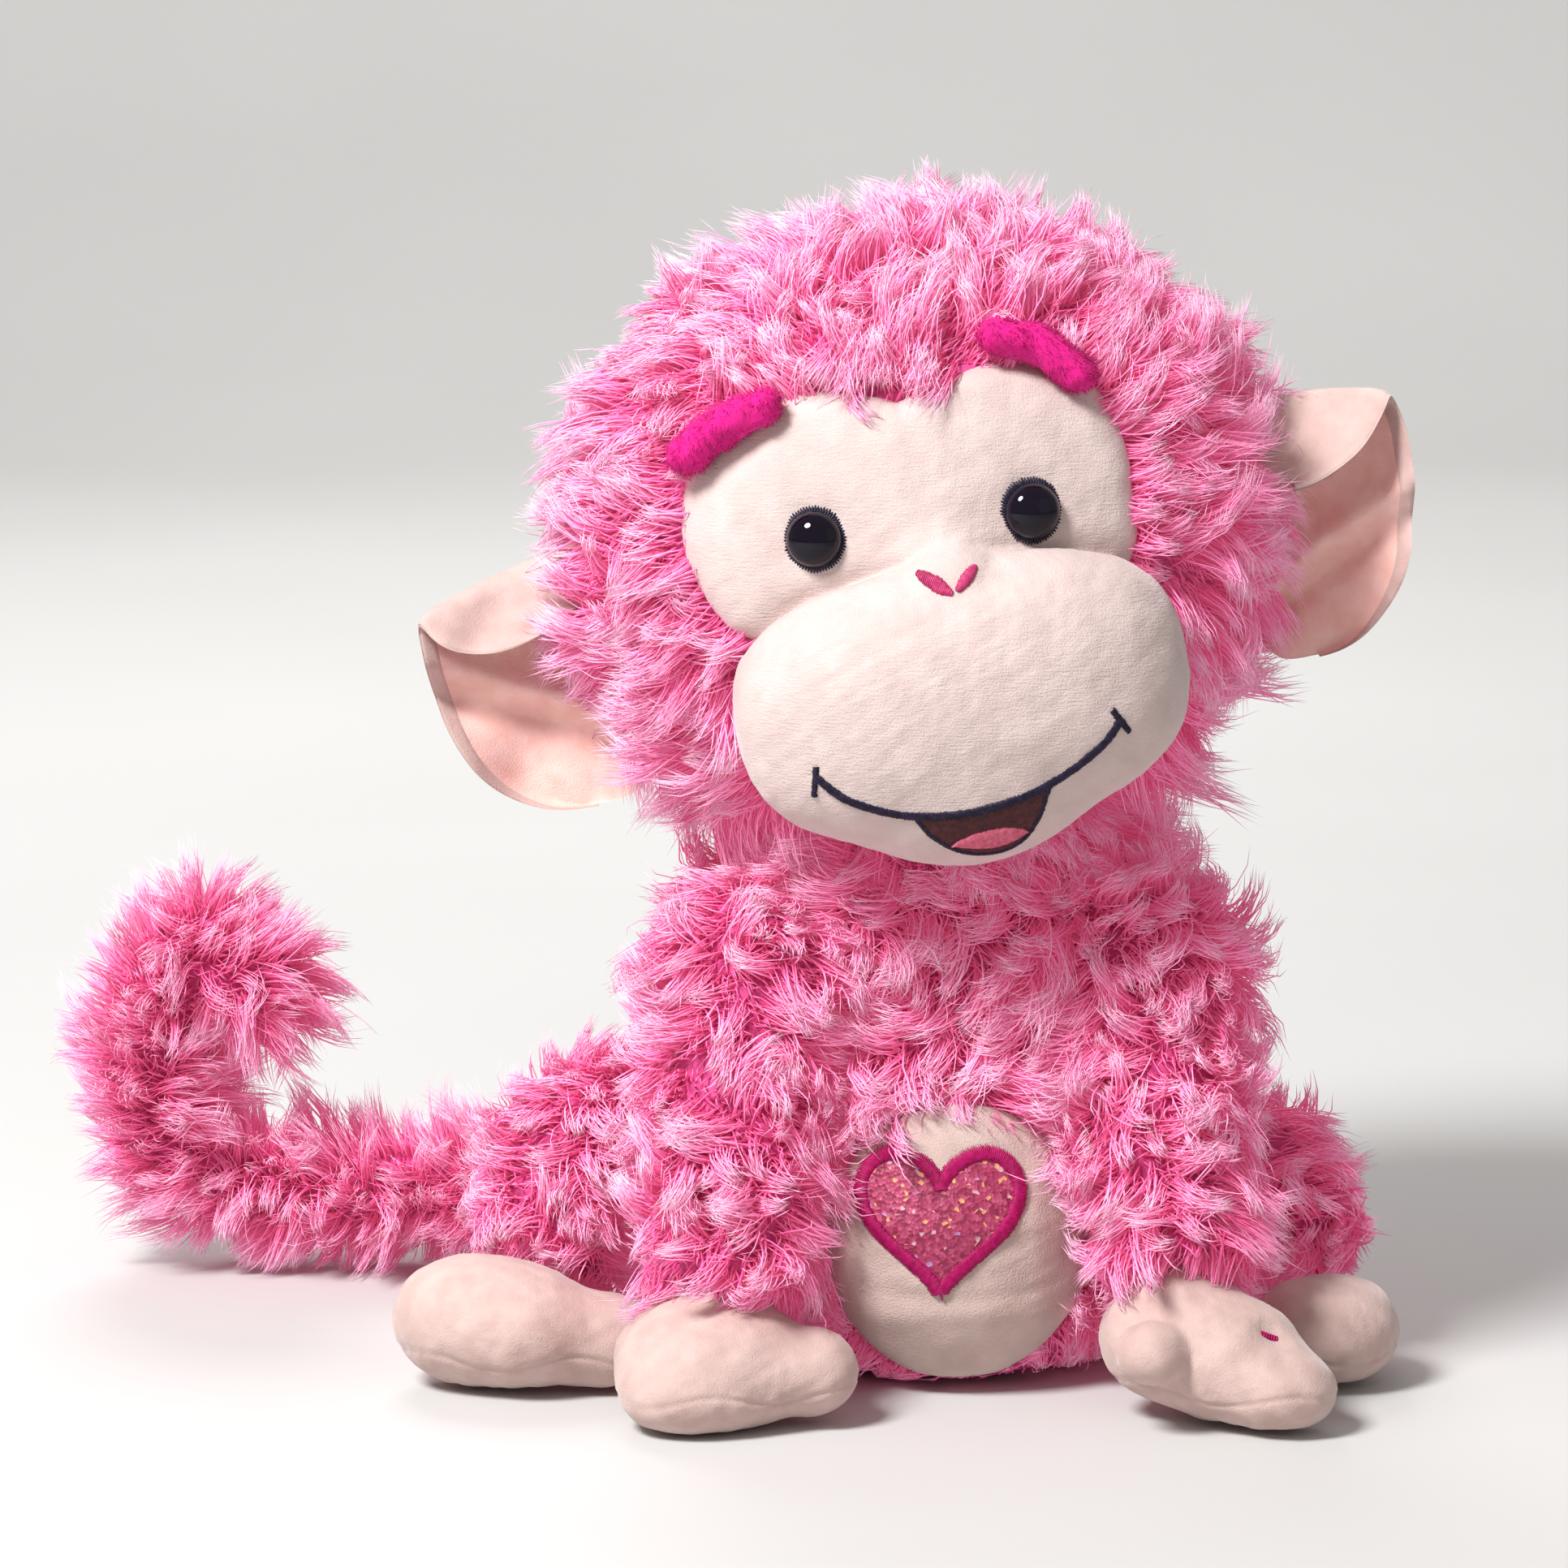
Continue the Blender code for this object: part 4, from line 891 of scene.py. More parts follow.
def face_distance(p):
    """Face cloth and muzzle as one form. They run together at the bridge of the nose."""
    x, y, z = p[..., 0], p[..., 1], p[..., 2]
    plate = -face_depth(x, z) - y
    rim = (face_rim(x, z) - 1.0) * 38.0
    face = soft_max(plate, rim, 5.0)
    bridge = np.exp(-((x - 2.0) / 13.0) ** 2)
    muzzle = muzzle_distance(p)
    lip = ball_distance(p, (-1.5, -58.0, -50.3), (26.0, 18.5, 16.4))
    muzzle = soft_min(muzzle, lip, 5.0)
    nose = ball_distance(p, (1.6, -65.5, -3.6), (8.4, 6.6, 5.6))
    whole = soft_min(face, muzzle, 1.0 + 11.0 * bridge)
    crease = np.exp(-((face - muzzle) / 1.8) ** 2) * (1.0 - bridge) * (y < -45.0)
    return soft_min(whole + 1.5 * crease, nose, 3.5)


def on_face(x, z, offset=0.0):
    """The point of the face or muzzle straight behind (x, z), found from the front."""
    x, z = np.broadcast_arrays(np.asarray(x, float), np.asarray(z, float))
    steps = np.linspace(-95.0, -30.0, 60)
    inside = np.stack([face_distance(np.stack([x, np.full(x.shape, s), z], -1)) < 0.0 for s in steps])
    first = np.argmax(inside, axis=0)
    low = steps[np.maximum(first - 1, 0)]
    high = steps[first]
    for _ in range(18):
        middle = 0.5 * (low + high)
        inside = face_distance(np.stack([x, middle, z], -1)) < 0.0
        high = np.where(inside, middle, high)
        low = np.where(inside, low, middle)
    points = np.stack([x, high, z], -1)
    if np.any(offset):
        points = points + face_outs(points) * np.asarray(offset)[..., None]
    return points


def face_outs(points):
    step = 0.35
    slope = [face_distance(points + way) - face_distance(points - way) for way in np.eye(3) * step]
    return unit(np.stack(slope, -1))


def oval_grid(rows, sides, edge):
    """A unit ball's points in rows from pole to pole: across, across the other way, and along."""
    polar = np.radians(np.linspace(edge, 180.0 - edge, rows))[:, None]
    turn = full_turn(sides)[None, :]
    return np.sin(polar) * np.cos(turn), np.sin(polar) * np.sin(turn), np.cos(polar) * np.ones_like(turn)


def build_head():
    across, up, back = oval_grid(60, 110, 3.0)
    depth = np.where(back > 0.0, HEAD_BACK, HEAD_FRONT) * back
    verts, tris = grid_mesh(np.stack([HEAD_HALF_X * across, depth, HEAD_HALF_Z * up], -1))
    verts = roughen(verts, tris, 1.0, 30.0, 12)
    def keep(points):
        front = points[:, 1] < -15.0
        face = face_rim(points[:, 0], points[:, 2]) < 0.96
        q = np.abs(points[:, [0, 2]] - MUZZLE_CENTRE[[0, 2]]) / MUZZLE_HALF[[0, 2]]
        muzzle = (q ** MUZZLE_FULLNESS).sum(1) < 0.85
        return ~(front & (face | muzzle))

    def comb(points):
        lie = points * np.array([1.0, 0.0, 1.0]) - np.array([0.0, 0.0, 6.0])
        lie = unit(lie) + np.array([0.0, 0.25, -0.45])
        return lie

    def stretch(points):
        near = np.clip((face_rim(points[:, 0], points[:, 2]) - 0.95) / 0.35, 0.0, 1.0)
        near = np.where(points[:, 1] < -15.0, near, 1.0)
        hang = np.clip((-points[:, 2] - 20.0) / 30.0, 0.0, 1.0)
        crown = np.clip((points[:, 2] - 30.0) / 25.0, 0.0, 1.0)
        return 0.7 + 0.3 * near + 0.35 * hang - 0.14 * crown

    coat = Coat(17.5, lean=(14.0, 70.0), curl=1.4, swirl=0.75, swirl_size=30.0)
    furry("head", (verts, tris), coat, comb, 22, "head",
          ("head_cover", "head_stuffing", "eye_washer_left", "eye_washer_right"), keep, stretch, from_head)
    build_forelock()


FORELOCK_TUFTS = 34
FORELOCK_STRANDS = 22


def build_forelock():
    """Long tufts that hang over the middle of the brow in a peak."""
    rng = np.random.default_rng(55)
    count = FORELOCK_TUFTS
    x = rng.uniform(-12.0, 12.0, count)
    z = 47.0 + rng.uniform(-5.0, 8.0, count) - 0.05 * x * x
    y = -HEAD_FRONT * np.sqrt(np.maximum(1.0 - (x / HEAD_HALF_X) ** 2 - (z / HEAD_HALF_Z) ** 2, 0.02))
    places = np.stack([x, y, z], -1)
    normals = unit(places / np.array([HEAD_HALF_X, HEAD_FRONT, HEAD_HALF_Z]) ** 2)
    index = np.repeat(np.arange(count), FORELOCK_STRANDS)
    total = len(index)
    ways = flatten(np.stack([-0.35 - 0.02 * x, np.zeros(count), -np.ones(count)], -1), normals)
    jitter = rng.normal(0.0, 1.6, (total, 3))
    lengths = rng.uniform(13.0, 19.0, count)[index] * rng.uniform(0.8, 1.05, total)
    lean = np.radians(np.stack([rng.normal(38.0, 7.0, total), rng.normal(112.0, 12.0, total)], 1))
    curl = rng.normal(0.0, 0.6, count)[index] + rng.normal(0.0, 0.2, total)
    own = turn_about(ways[index], normals[index], rng.normal(0.0, 0.15, total))
    curves = strand_curves(places[index], normals[index], own, lengths, lean, curl, 4)
    share = np.linspace(0.0, 1.0, 5)[None, :, None]
    curves = curves + jitter[:, None, :] * (1.0 - 0.8 * share ** 0.8)
    widths = 0.42 * rng.uniform(0.7, 1.2, total)
    verts, tris, uv = strand_mesh(curves, widths, rng.uniform(0.3, 0.9, total))
    fur_pieces("forelock_fur", (from_head(verts), tris, uv), 4, "head")


def build_face():
    centre = np.array((0.0, -40.0, -16.0))
    rows, sides = ((170, 340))

    def distance(p):
        return soft_max(face_distance(p), p[..., 1] + 30.0, 4.0)

    verts, tris = grid_mesh(shell(centre, (0.0, -1.0, -0.1), distance, rows, sides))
    verts = roughen(verts, tris, 0.16, 11.0, 14)
    head_piece("face_plush", (verts, tris), FACE, "short_pile_plush",
               "face_patch", "muzzle_cover", "muzzle_stuffing")


EYE_RADIUS = 6.0
EYE_DOME_HEIGHT = 4.3
EYE_LIFT = 0.7
EYE_RING_HALF = (6.9, 7.2)
EYE_RING_STITCHES = 64
EYE_PAD = ((5.8, -0.6), (6.1, 0.3), (5.4, 0.75), (0.3, 0.8))


def lathe(profile, sides):
    turn = full_turn(sides)
    return grid_mesh(np.array([[(r * math.cos(a), r * math.sin(a), h) for a in turn] for r, h in profile]))


def build_eyes():
    """A shiny dome on a thin pad, inside a ring of stitches that run outwards."""
    angles = np.radians(np.linspace(0.0, 88.0, 22))
    dome = [(0.4, -1.0), (5.4, -1.0), (5.95, 0.2)]
    dome += [(EYE_RADIUS * math.cos(a), 0.9 + EYE_DOME_HEIGHT * math.sin(a)) for a in angles]
    for side, sign in SIDES:
        x, z = EYES[side]
        middle = on_face(x, z)
        wide = on_face(x + np.array([-6.0, 6.0, 0.0, 0.0]), z + np.array([0.0, 0.0, -6.0, 6.0]))
        out = unit(-np.cross(wide[1] - wide[0], wide[3] - wide[2]))
        out = out * -np.sign(out[1])
        across = unit(np.cross((0.0, 0.0, 1.0), out))
        up = np.cross(out, across)

        def placed(data, lift, middle=middle, axes=(across, up, out)):
            verts = sum(data[0][:, k:k + 1] * axes[k] for k in range(3))
            return middle + axes[2] * lift + verts, data[1]

        rng = np.random.default_rng(60 + int(sign))
        turn = np.linspace(0.0, 2.0 * math.pi, EYE_RING_STITCHES, endpoint=False)
        ring = np.stack([EYE_RING_HALF[0] * np.cos(turn), EYE_RING_HALF[1] * np.sin(turn)], -1)
        way = ring[:, :1] * across + ring[:, 1:] * up
        lengths = np.linalg.norm(way, axis=1) * 0.78 + rng.uniform(-0.25, 0.45, len(turn))
        middles = middle + way * 0.62 + out * 0.75
        threads = stitches(middles, unit(way), np.broadcast_to(out, way.shape), lengths, 0.85, 0.35)
        backing = join([threads, placed(lathe(EYE_PAD, 48), 0.0)])
        head_piece("eye_stitching_" + side, backing, NAVY, "dark_thread", "eye_backing_" + side)
        head_piece("eye_dome_" + side, placed(lathe(dome, 72), EYE_LIFT), GLOSS, "eye_plastic", "eye_" + side)

# The smile, from one corner to the other, in the head's frame
SMILE = ((-34.8, -38.6), (-30.0, -44.0), (-23.3, -48.0), (-17.0, -50.4), (-8.0, -52.0), (0.5, -52.0),
         (8.7, -50.9), (14.4, -49.3), (21.3, -46.3), (27.0, -43.0), (31.5, -38.8))
TONGUE_MIDDLE = (-0.8, -59.4)
TONGUE_HALF = (8.2, 2.9)
OPEN_MOUTH = ((-15.6, -51.3), (-12.9, -56.0), (-7.4, -60.8), (-0.4, -62.8), (5.6, -61.4), (10.0, -56.8),
              (13.2, -50.6))
SMILE_TICKS = (((-36.0, -42.5), (-34.6, -36.2)), ((29.8, -36.4), (32.6, -41.8)))


def curve_points(points, count):
    path, _ = smooth_path([(x, 0.0, z) for x, z in points], np.zeros(len(points)), count)
    return path[:, 0], path[:, 2]


def face_line(line, length, rng):
    points = on_face(*line)
    return line_stitches(points, face_outs(points), length, 0.75, 0.2, rng)


def build_mouth():
    rng = np.random.default_rng(71)
    smile = curve_points(SMILE, 160)
    lower = curve_points(OPEN_MOUTH, 90)
    parts = [face_line(smile, 2.5, rng), face_line(lower, 1.6, rng)]
    parts += [face_line(np.linspace(start, end, 14).T, 1.8, rng) for start, end in SMILE_TICKS]
    head_piece("mouth_stitching", join(parts), NAVY, "dark_thread", "mouth_line")
    build_mouth_fill(smile, lower)
    build_tongue(lower, rng)


def build_mouth_fill(smile, lower):
    """Rows of upright stitches that fill the open mouth, on a thin pad."""
    columns = np.arange(lower[0][0] + 0.3, lower[0][-1] - 0.2, 0.36)
    middles, starts, ends = [], [], []
    for column, high, low in zip(columns, np.interp(columns, *smile) - 0.2, np.interp(columns, *lower)):
        edges = np.linspace(low, high, max(int((high - low) / 2.2), 1) + 1)
        starts.extend((column, edge) for edge in edges[:-1])
        ends.extend((column, edge) for edge in edges[1:])
        middles.extend((column, edge) for edge in 0.5 * (edges[:-1] + edges[1:]))
    middles = on_face(*np.array(middles).T)
    span = on_face(*np.array(ends).T) - on_face(*np.array(starts).T)
    lengths = np.linalg.norm(span, axis=1) + 0.5
    threads = stitches(middles, unit(span), face_outs(middles), lengths, 0.46, 0.55)
    spots = np.linspace(columns[0], columns[-1], 70)[:, None]
    floor, roof = np.interp(spots, *lower), np.interp(spots, *smile)
    levels = floor + np.maximum(roof - floor, 0.2) * np.linspace(0.0, 1.0, 16)
    pad = sheet_mesh(on_face(spots, levels, 0.3), on_face(spots, levels, -0.8))
    head_piece("mouth_fill_stitching", join([threads, pad]), MAROON, "mouth_thread", "mouth_fill")


def build_tongue(lower, rng):
    across = np.arange(TONGUE_MIDDLE[0] - TONGUE_HALF[0], TONGUE_MIDDLE[0] + TONGUE_HALF[0], 0.34)
    arch = np.sqrt(np.clip(1.0 - ((across - TONGUE_MIDDLE[0]) / TONGUE_HALF[0]) ** 2, 0.02, 1.0))
    high = TONGUE_MIDDLE[1] + TONGUE_HALF[1] * arch
    low = np.maximum(np.interp(across, *lower) + 0.9, TONGUE_MIDDLE[1] - TONGUE_HALF[1] * arch)
    span = on_face(across, high) - on_face(across, low)
    middle = on_face(across, 0.5 * (low + high))
    lengths = np.linalg.norm(span, axis=1) * rng.uniform(0.96, 1.06, len(across))
    threads = stitches(middle, unit(span), face_outs(middle), lengths, 0.5, 0.95)
    head_piece("tongue_stitching", threads, TONGUE, "tongue_thread", "tongue")


# Each nostril's start and end on the face, and its width
NOSTRILS = {"left": ((-5.0, -0.4), (1.0, -5.4), 4.1), "right": ((7.0, -1.1), (2.4, -5.1), 3.3)}


def build_nostrils():
    """Two slanting satin-stitched drops that meet in a V."""
    rng = np.random.default_rng(81)
    for side, (start, end, width) in NOSTRILS.items():
        points = on_face(*np.linspace(start, end, 22).T)
        outs = face_outs(points)
        along = unit(np.gradient(points, axis=0))
        runs = turn_about(unit(np.cross(outs, along)), outs, np.full(len(points), 0.25))
        share = 0.08 + 0.86 * np.linspace(0.0, 1.0, len(points))
        lengths = width * np.sqrt(np.clip(np.sin(math.pi * share), 0.1, 1.0))
        lengths = lengths * rng.uniform(0.9, 1.08, len(points))
        threads = stitches(points, runs, outs, lengths, 0.5, 0.85)
        head_piece("nostril_stitching_" + side, threads, ROSE, "pink_thread", "nostril_" + side)


BROWS = {"left": ((-44.0, 28.0), (-36.0, 32.5), (-27.5, 35.0)),
         "right": ((20.0, 39.5), (28.0, 36.0), (34.5, 29.5))}
BROW_RADII = {"left": (4.3, 4.5, 3.9), "right": (3.9, 4.3, 4.2)}
BROW_LIFT = 8.0
BROW_FUZZ = Coat(2.0, clump_area=1.6, per_clump=6, width=0.24, lean=(10.0, 60.0), curl=0.6, gather=0.3,
                 swirl=0.5, swirl_size=6.0, rings=2)


def build_brows():
    for number, (side, sign) in enumerate(SIDES):
        points = []
        for x, z in BROWS[side]:
            share = min((x / HEAD_HALF_X) ** 2 + (z / HEAD_HALF_Z) ** 2, 0.95)
            y = -HEAD_FRONT * math.sqrt(1.0 - share)
            out = unit(np.array([x / HEAD_HALF_X ** 2, y / HEAD_FRONT ** 2, z / HEAD_HALF_Z ** 2]))
            points.append(np.array([x, y, z]) + out * BROW_LIFT)
        verts, tris = grid_mesh(tube_grid(*round_ends(*smooth_path(points, BROW_RADII[side], 26)), 36))
        verts = roughen(verts, tris, 0.28, 7.0, 15 + int(sign))
        head_piece("brow_velvet_" + side, (verts, tris), VELVET, "brow_velvet", "brow_" + side)
        fuzz = grow(verts, tris, BROW_FUZZ, downward, 160 + number)
        head_piece("brow_fuzz_" + side, fuzz, VELVET, "brow_velvet")


# ---------------------------------------------------------------- ears
# Reach, lowest and highest points, the fold's height and slant, how far the flap turns over, how full
# the lobe and the corner are, and how deeply the ear is cupped
EARS = {
    "left": {"reach": 31.5, "low": -28.0, "high": 43.5, "fold": 25.0, "slant": -0.22, "angle": 164.0,
             "lobe": 2.5, "corner": 2.0, "cup": 7.0},
    "right": {"reach": 27.0, "low": -27.0, "high": 53.0, "fold": 27.5, "slant": -0.05, "angle": 146.0,
              "lobe": 2.2, "corner": 1.7, "cup": 13.0},
}
EAR_SUNK = 11.0
EAR_BEND = 2.6
EAR_HEM = 2.2
EAR_SHOULDER = 8.0


def ear_sheet(side, sign, u, v, offset):
    """The ear's cupped cloth: u runs from root to rim, v from bottom to top. Its top folds forward."""
    form = EARS[side]
    rise = np.sin(0.5 * math.pi * v)
    z = 0.5 * (form["low"] + form["high"]) + 0.5 * (form["high"] - form["low"]) * rise
    widest = form["fold"] - EAR_SHOULDER
    under = np.clip((widest - z) / (widest - form["low"]), 0.0, 1.0)
    over = np.clip((z - widest) / (form["high"] - widest), 0.0, 1.0)
    lobe, corner = form["lobe"], form["corner"]
    reach = form["reach"] * (1.0 - under ** lobe) ** (1.0 / lobe) * (1.0 - over ** corner) ** (1.0 / corner)
    sunk = EAR_SUNK * np.sqrt(np.clip(1.0 - v ** 6, 0.0, 1.0))
    x = u * (reach + sunk) - sunk
    share = np.clip(x, 0.0, None) / form["reach"]
    crumple = 1.0 * np.sin(0.15 * z + 0.22 * x + 1.3) * np.clip(x / 15.0, 0.0, 1.0)
    crumple = crumple + 0.5 * np.sin(0.33 * z - 0.21 * x)
    ridge = 3.0 * np.exp(-((z + 5.0 - 0.55 * x) / 3.2) ** 2)
    ridge = ridge - 3.4 * np.exp(-((z + 12.5 - 0.5 * x) / 3.0) ** 2)
    roll = np.clip((u - 0.75) / 0.25, 0.0, 1.0)
    y = -form["cup"] * share ** 2 - 2.0 * v * v + crumple - ridge * (share < 1.2) * 0.8 - 4.5 * roll ** 2
    excess = np.maximum(z - form["fold"] - form["slant"] * x, 0.0)
    limit = math.radians(form["angle"])
    angle = np.minimum(excess / EAR_BEND, limit)
    straight = excess - angle * EAR_BEND
    fold_z = form["fold"] + form["slant"] * x
    fold_z = fold_z + (EAR_BEND + offset) * np.sin(angle) + straight * math.cos(limit)
    fold_y = y - EAR_BEND + (EAR_BEND + offset) * np.cos(angle) - straight * math.sin(limit)
    folded = excess > 0.0
    return np.stack([sign * x, np.where(folded, fold_y, y + offset), np.where(folded, fold_z, z)], -1)


# Name, the layer's two faces as offsets from the sheet, share of the ear's reach, cloth, slot and node
EAR_LAYERS = (("back", 0.1, 2.0, 1.0, CREAM, "short_pile_plush", "ear_back_"),
              ("lining", -1.7, -0.1, 0.95, PEACH, "ear_lining", "ear_front_"))


def build_ears():
    for side, sign in SIDES:
        pivot = to_head(joint_place(f"ear_{side}_fold")[None])[0]
        v = np.linspace(-1.0, 1.0, 120)
        for label, low, high, last, material, slot, node in EAR_LAYERS:
            across = last * np.linspace(0.0, 1.0, 70) ** 0.8
            u_grid, v_grid = np.meshgrid(across, v, indexing="ij")
            hem = EAR_HEM * np.clip((u_grid - 0.88) / 0.05, 0.0, 1.0) * (last == 1.0)
            thin = np.sqrt(np.clip(1.0 - (u_grid / last) ** 24, 0.02, 1.0))
            mid = 0.5 * (low + high) - 0.5 * hem
            half = 0.5 * (high - low + hem) * thin
            verts, tris = sheet_mesh(*(ear_sheet(side, sign, u_grid, v_grid, offset)
                                       for offset in (mid + half, mid - half)))
            data = (from_head(verts + pivot), tris)
            make_piece(f"ear_{side}_{label}", data, material, f"ear_{side}", slot, node + side)

def sheet_mesh(top, bottom):
    """A closed thin body between two grids that share their edges' numbering."""
    rows, cols = top.shape[:2]
    index = np.arange(rows * cols).reshape(rows, cols)
    quads = np.stack([index[:-1, :-1], index[1:, :-1], index[1:, 1:], index[:-1, 1:]], -1).reshape(-1, 4)
    base = rows * cols
    border = np.concatenate([index[0, :-1], index[:-1, -1], index[-1, :0:-1], index[:0:-1, 0]])
    after = np.roll(border, -1)
    sides = np.stack([border, after, after + base, border + base], -1)
    verts = np.concatenate([top.reshape(-1, 3), bottom.reshape(-1, 3)])
    tris = np.concatenate([triangles(quads), triangles(quads[:, ::-1] + base), triangles(sides[:, ::-1])])
    return verts, outward(verts - verts.mean(0), tris)


# ---------------------------------------------------------------- limbs

ARM_SKINS = (19.0, 16.0, 14.0)
SLEEVE_ENDS = {"left": -2.0, "right": -7.0}
LEG_SKINS = {"left": (19.0, 23.0, 18.0, 13.0), "right": (17.0, 17.0, 14.0, 12.0)}
LEG_KNEES = {"left": (-87.0, 4.0, 52.0), "right": (70.0, 6.0, 42.0)}
# Each form is a centre, a half size and how softly it joins the ones before it
HAND_FORMS = {
    "left": (((-55.0, -67.0, 14.6), (20.5, 17.0, 13.8), 5.0), ((-47.0, -73.0, 11.5), (16.0, 13.0, 11.0), 5.0),
             ((-61.0, -79.0, 9.2), (13.5, 12.0, 8.8), 10.0), ((-33.5, -72.0, 12.0), (11.0, 10.0, 9.6), 3.0)),
    "right": (((47.0, -66.0, 18.0), (17.0, 15.5, 14.4), 5.0), ((58.0, -70.0, 14.5), (16.5, 16.5, 13.8), 5.0),
              ((68.5, -78.5, 9.6), (13.0, 12.0, 9.2), 5.0), ((40.5, -82.5, 18.5), (7.8, 7.6, 7.0), 2.2)),
}
HAND_MIDDLES = {"left": (-52.0, -69.0, 12.5), "right": (54.0, -70.0, 13.5)}
FOOT_FORMS = {
    "left": (((-108.0, -37.0, 15.2), (18.0, 17.0, 14.4), 5.0),
             ((-97.0, -42.0, 14.6), (16.5, 16.0, 13.6), 5.0),
             ((-80.0, -42.0, 11.5), (15.0, 11.0, 10.6), 5.0)),
    "right": (((80.0, -38.0, 12.8), (15.5, 15.5, 12.2), 5.0), ((88.0, -33.0, 12.0), (9.5, 14.0, 10.6), 5.0)),
}
TACK_PLACE = np.array((66.0, -79.0, 21.5))
TACK_WAY = np.array((1.0, 0.0, -0.05))
TACK_STITCHES = 7
FOOT_MIDDLES = {"left": (-98.0, -36.0, 14.5), "right": (82.0, -33.0, 13.0)}
ROOT_BALL = 8.0


def along_path(path):
    tangents = unit(np.gradient(path, axis=0))

    def comb(points):
        nearest = np.argmin(np.linalg.norm(points[:, None] - path[None], axis=2), axis=1)
        return tangents[nearest] + np.array([0.0, 0.0, -0.25])

    return comb


def above_floor(low):
    return lambda points: points[:, 2] > low


def cloth_nodes(name):
    return name + "_cover", name + "_stuffing"


def build_sleeve(name, points, radii, seed, length):
    path, sizes = smooth_path(points, radii, 30)
    verts, tris = grid_mesh(tube_grid(*round_ends(path, sizes, end=False), 48))
    verts = roughen(verts, tris, 0.8, 20.0, seed)
    verts[:, 2] = np.maximum(verts[:, 2], 1.0)

    def stretch(places):
        return np.clip((places[:, 2] - 1.0) / 11.0, 0.35, 1.0)

    coat = Coat(length, lean=(20.0, 86.0), curl=1.8, swirl=0.9, swirl_size=25.0)
    furry(name, (verts, tris), coat, along_path(path), seed + 1, name, cloth_nodes(name),
          above_floor(2.5), stretch)

def end_form(forms, joint):
    """A hand or foot as a distance: joined balls and a root, flattened where they meet the ground."""
    def distance(p):
        total = ball_distance(p, joint, (ROOT_BALL,) * 3)
        for centre, half, softness in forms:
            total = soft_min(total, ball_distance(p, centre, half), softness)
        dent = np.exp(-(np.linalg.norm(p - TACK_PLACE, axis=-1) / 4.0) ** 2)
        return soft_max(total + 2.0 * dent, 0.5 - p[..., 2], 2.5)

    return distance

def build_end(name, middle, forms, joint, seed):
    grid = shell(np.array(middle), (0.0, -1.0, 0.25), end_form(forms, joint), 110, 150, 60.0)
    verts, tris = grid_mesh(grid)
    seam = np.exp(-((verts[:, 2] - 9.0 - 1.5 * np.sin(verts[:, 0] * 0.2)) / 0.55) ** 2)
    pucker = 0.10 * ripple(verts, 6.0, seed) + 0.3 * ripple(verts, 18.0, seed + 3)
    verts = verts + vertex_normals(verts, tris) * (pucker - 0.4 * seam)[:, None]
    verts[:, 2] = np.maximum(verts[:, 2], 0.2)
    make_piece(name + "_plush", (verts, tris), CREAM, name, "short_pile_plush", *cloth_nodes(name))


def build_limbs():
    for number, (side, _) in enumerate(SIDES):
        shoulder, wrist = joint_place("shoulder_" + side), joint_place("wrist_" + side)
        bow = np.array([0.0, 2.0, 0.0])
        points = [shoulder + bow + np.array([0.0, 0.0, 5.0]), shoulder + (wrist - shoulder) * 0.5 + bow,
                  wrist + unit(wrist - shoulder) * SLEEVE_ENDS[side]]
        build_sleeve("arm_" + side, points, ARM_SKINS, 100 + number, 15.5)
        build_end("hand_" + side, HAND_MIDDLES[side], HAND_FORMS[side], wrist, 110 + number)
        hip, ankle, knee = joint_place("hip_" + side), joint_place("ankle_" + side), np.array(LEG_KNEES[side])
        points = [(hip + (knee - hip) * t) * (1.0 - t) + (knee + (ankle - knee) * t) * t
                  for t in (0.0, 0.3, 0.65, 1.0)]
        build_sleeve("leg_" + side, points, LEG_SKINS[side], 120 + number, 14.5)
        build_end("foot_" + side, FOOT_MIDDLES[side], FOOT_FORMS[side], ankle, 130 + number)


def build_tack():
    """A short bar of pink stitches in a dimple on the back of the hand."""
    distance = end_form(HAND_FORMS["right"], joint_place("wrist_right"))
    steps = np.linspace(-14.0, 14.0, 400)[:, None] * unit(np.array((0.0, 1.0, -0.6)))
    line = TACK_PLACE + steps
    place = line[np.argmax(distance(line) < 0.0)]
    out = unit(np.array([distance(place + way) - distance(place - way) for way in np.eye(3) * 0.5]))
    along = unit(TACK_WAY - out * (out @ TACK_WAY))
    spots = place + along * np.linspace(-1.9, 1.9, TACK_STITCHES)[:, None]
    run = np.tile(unit(np.cross(out, along)), (TACK_STITCHES, 1))
    threads = stitches(spots, run, np.tile(out, (TACK_STITCHES, 1)), 2.2, 0.6, 0.8)
    make_piece("hand_tack_stitching", threads, MAGENTA, "hand_right", "pink_thread", "hand_tack_right")

# ---------------------------------------------------------------- tail and neck

TAIL_SKIN = 8.5
TAIL_SWELL = 8.0
TAIL_BENDS = {
    "base": ((-50.0, 65.5, 20.5),),
    "middle": ((-115.0, 77.0, 19.0),),
    "rise": ((-173.0, 77.0, 23.0), (-184.5, 76.4, 34.0)),
    "tip": ((-183.5, 74.6, 64.0), (-174.5, 72.5, 74.0), (-164.0, 71.0, 70.5)),
}
TAIL_JOINTS = (("tail_swing", "base", "body"), ("tail_bend", "middle", "tail_base"),
               ("tail_curl", "rise", "tail_middle"), ("tail_tip_curl", "tip", "tail_rise"))
TAIL_STEPS = 12
TAIL_BLEND = 10.0
TAIL_COAT = Coat(17.0, clump_area=16.0, per_clump=22, width=0.40, lean=(8.0, 48.0), curl=1.4, gather=0.72,
                 swirl=0.6, swirl_size=22.0)


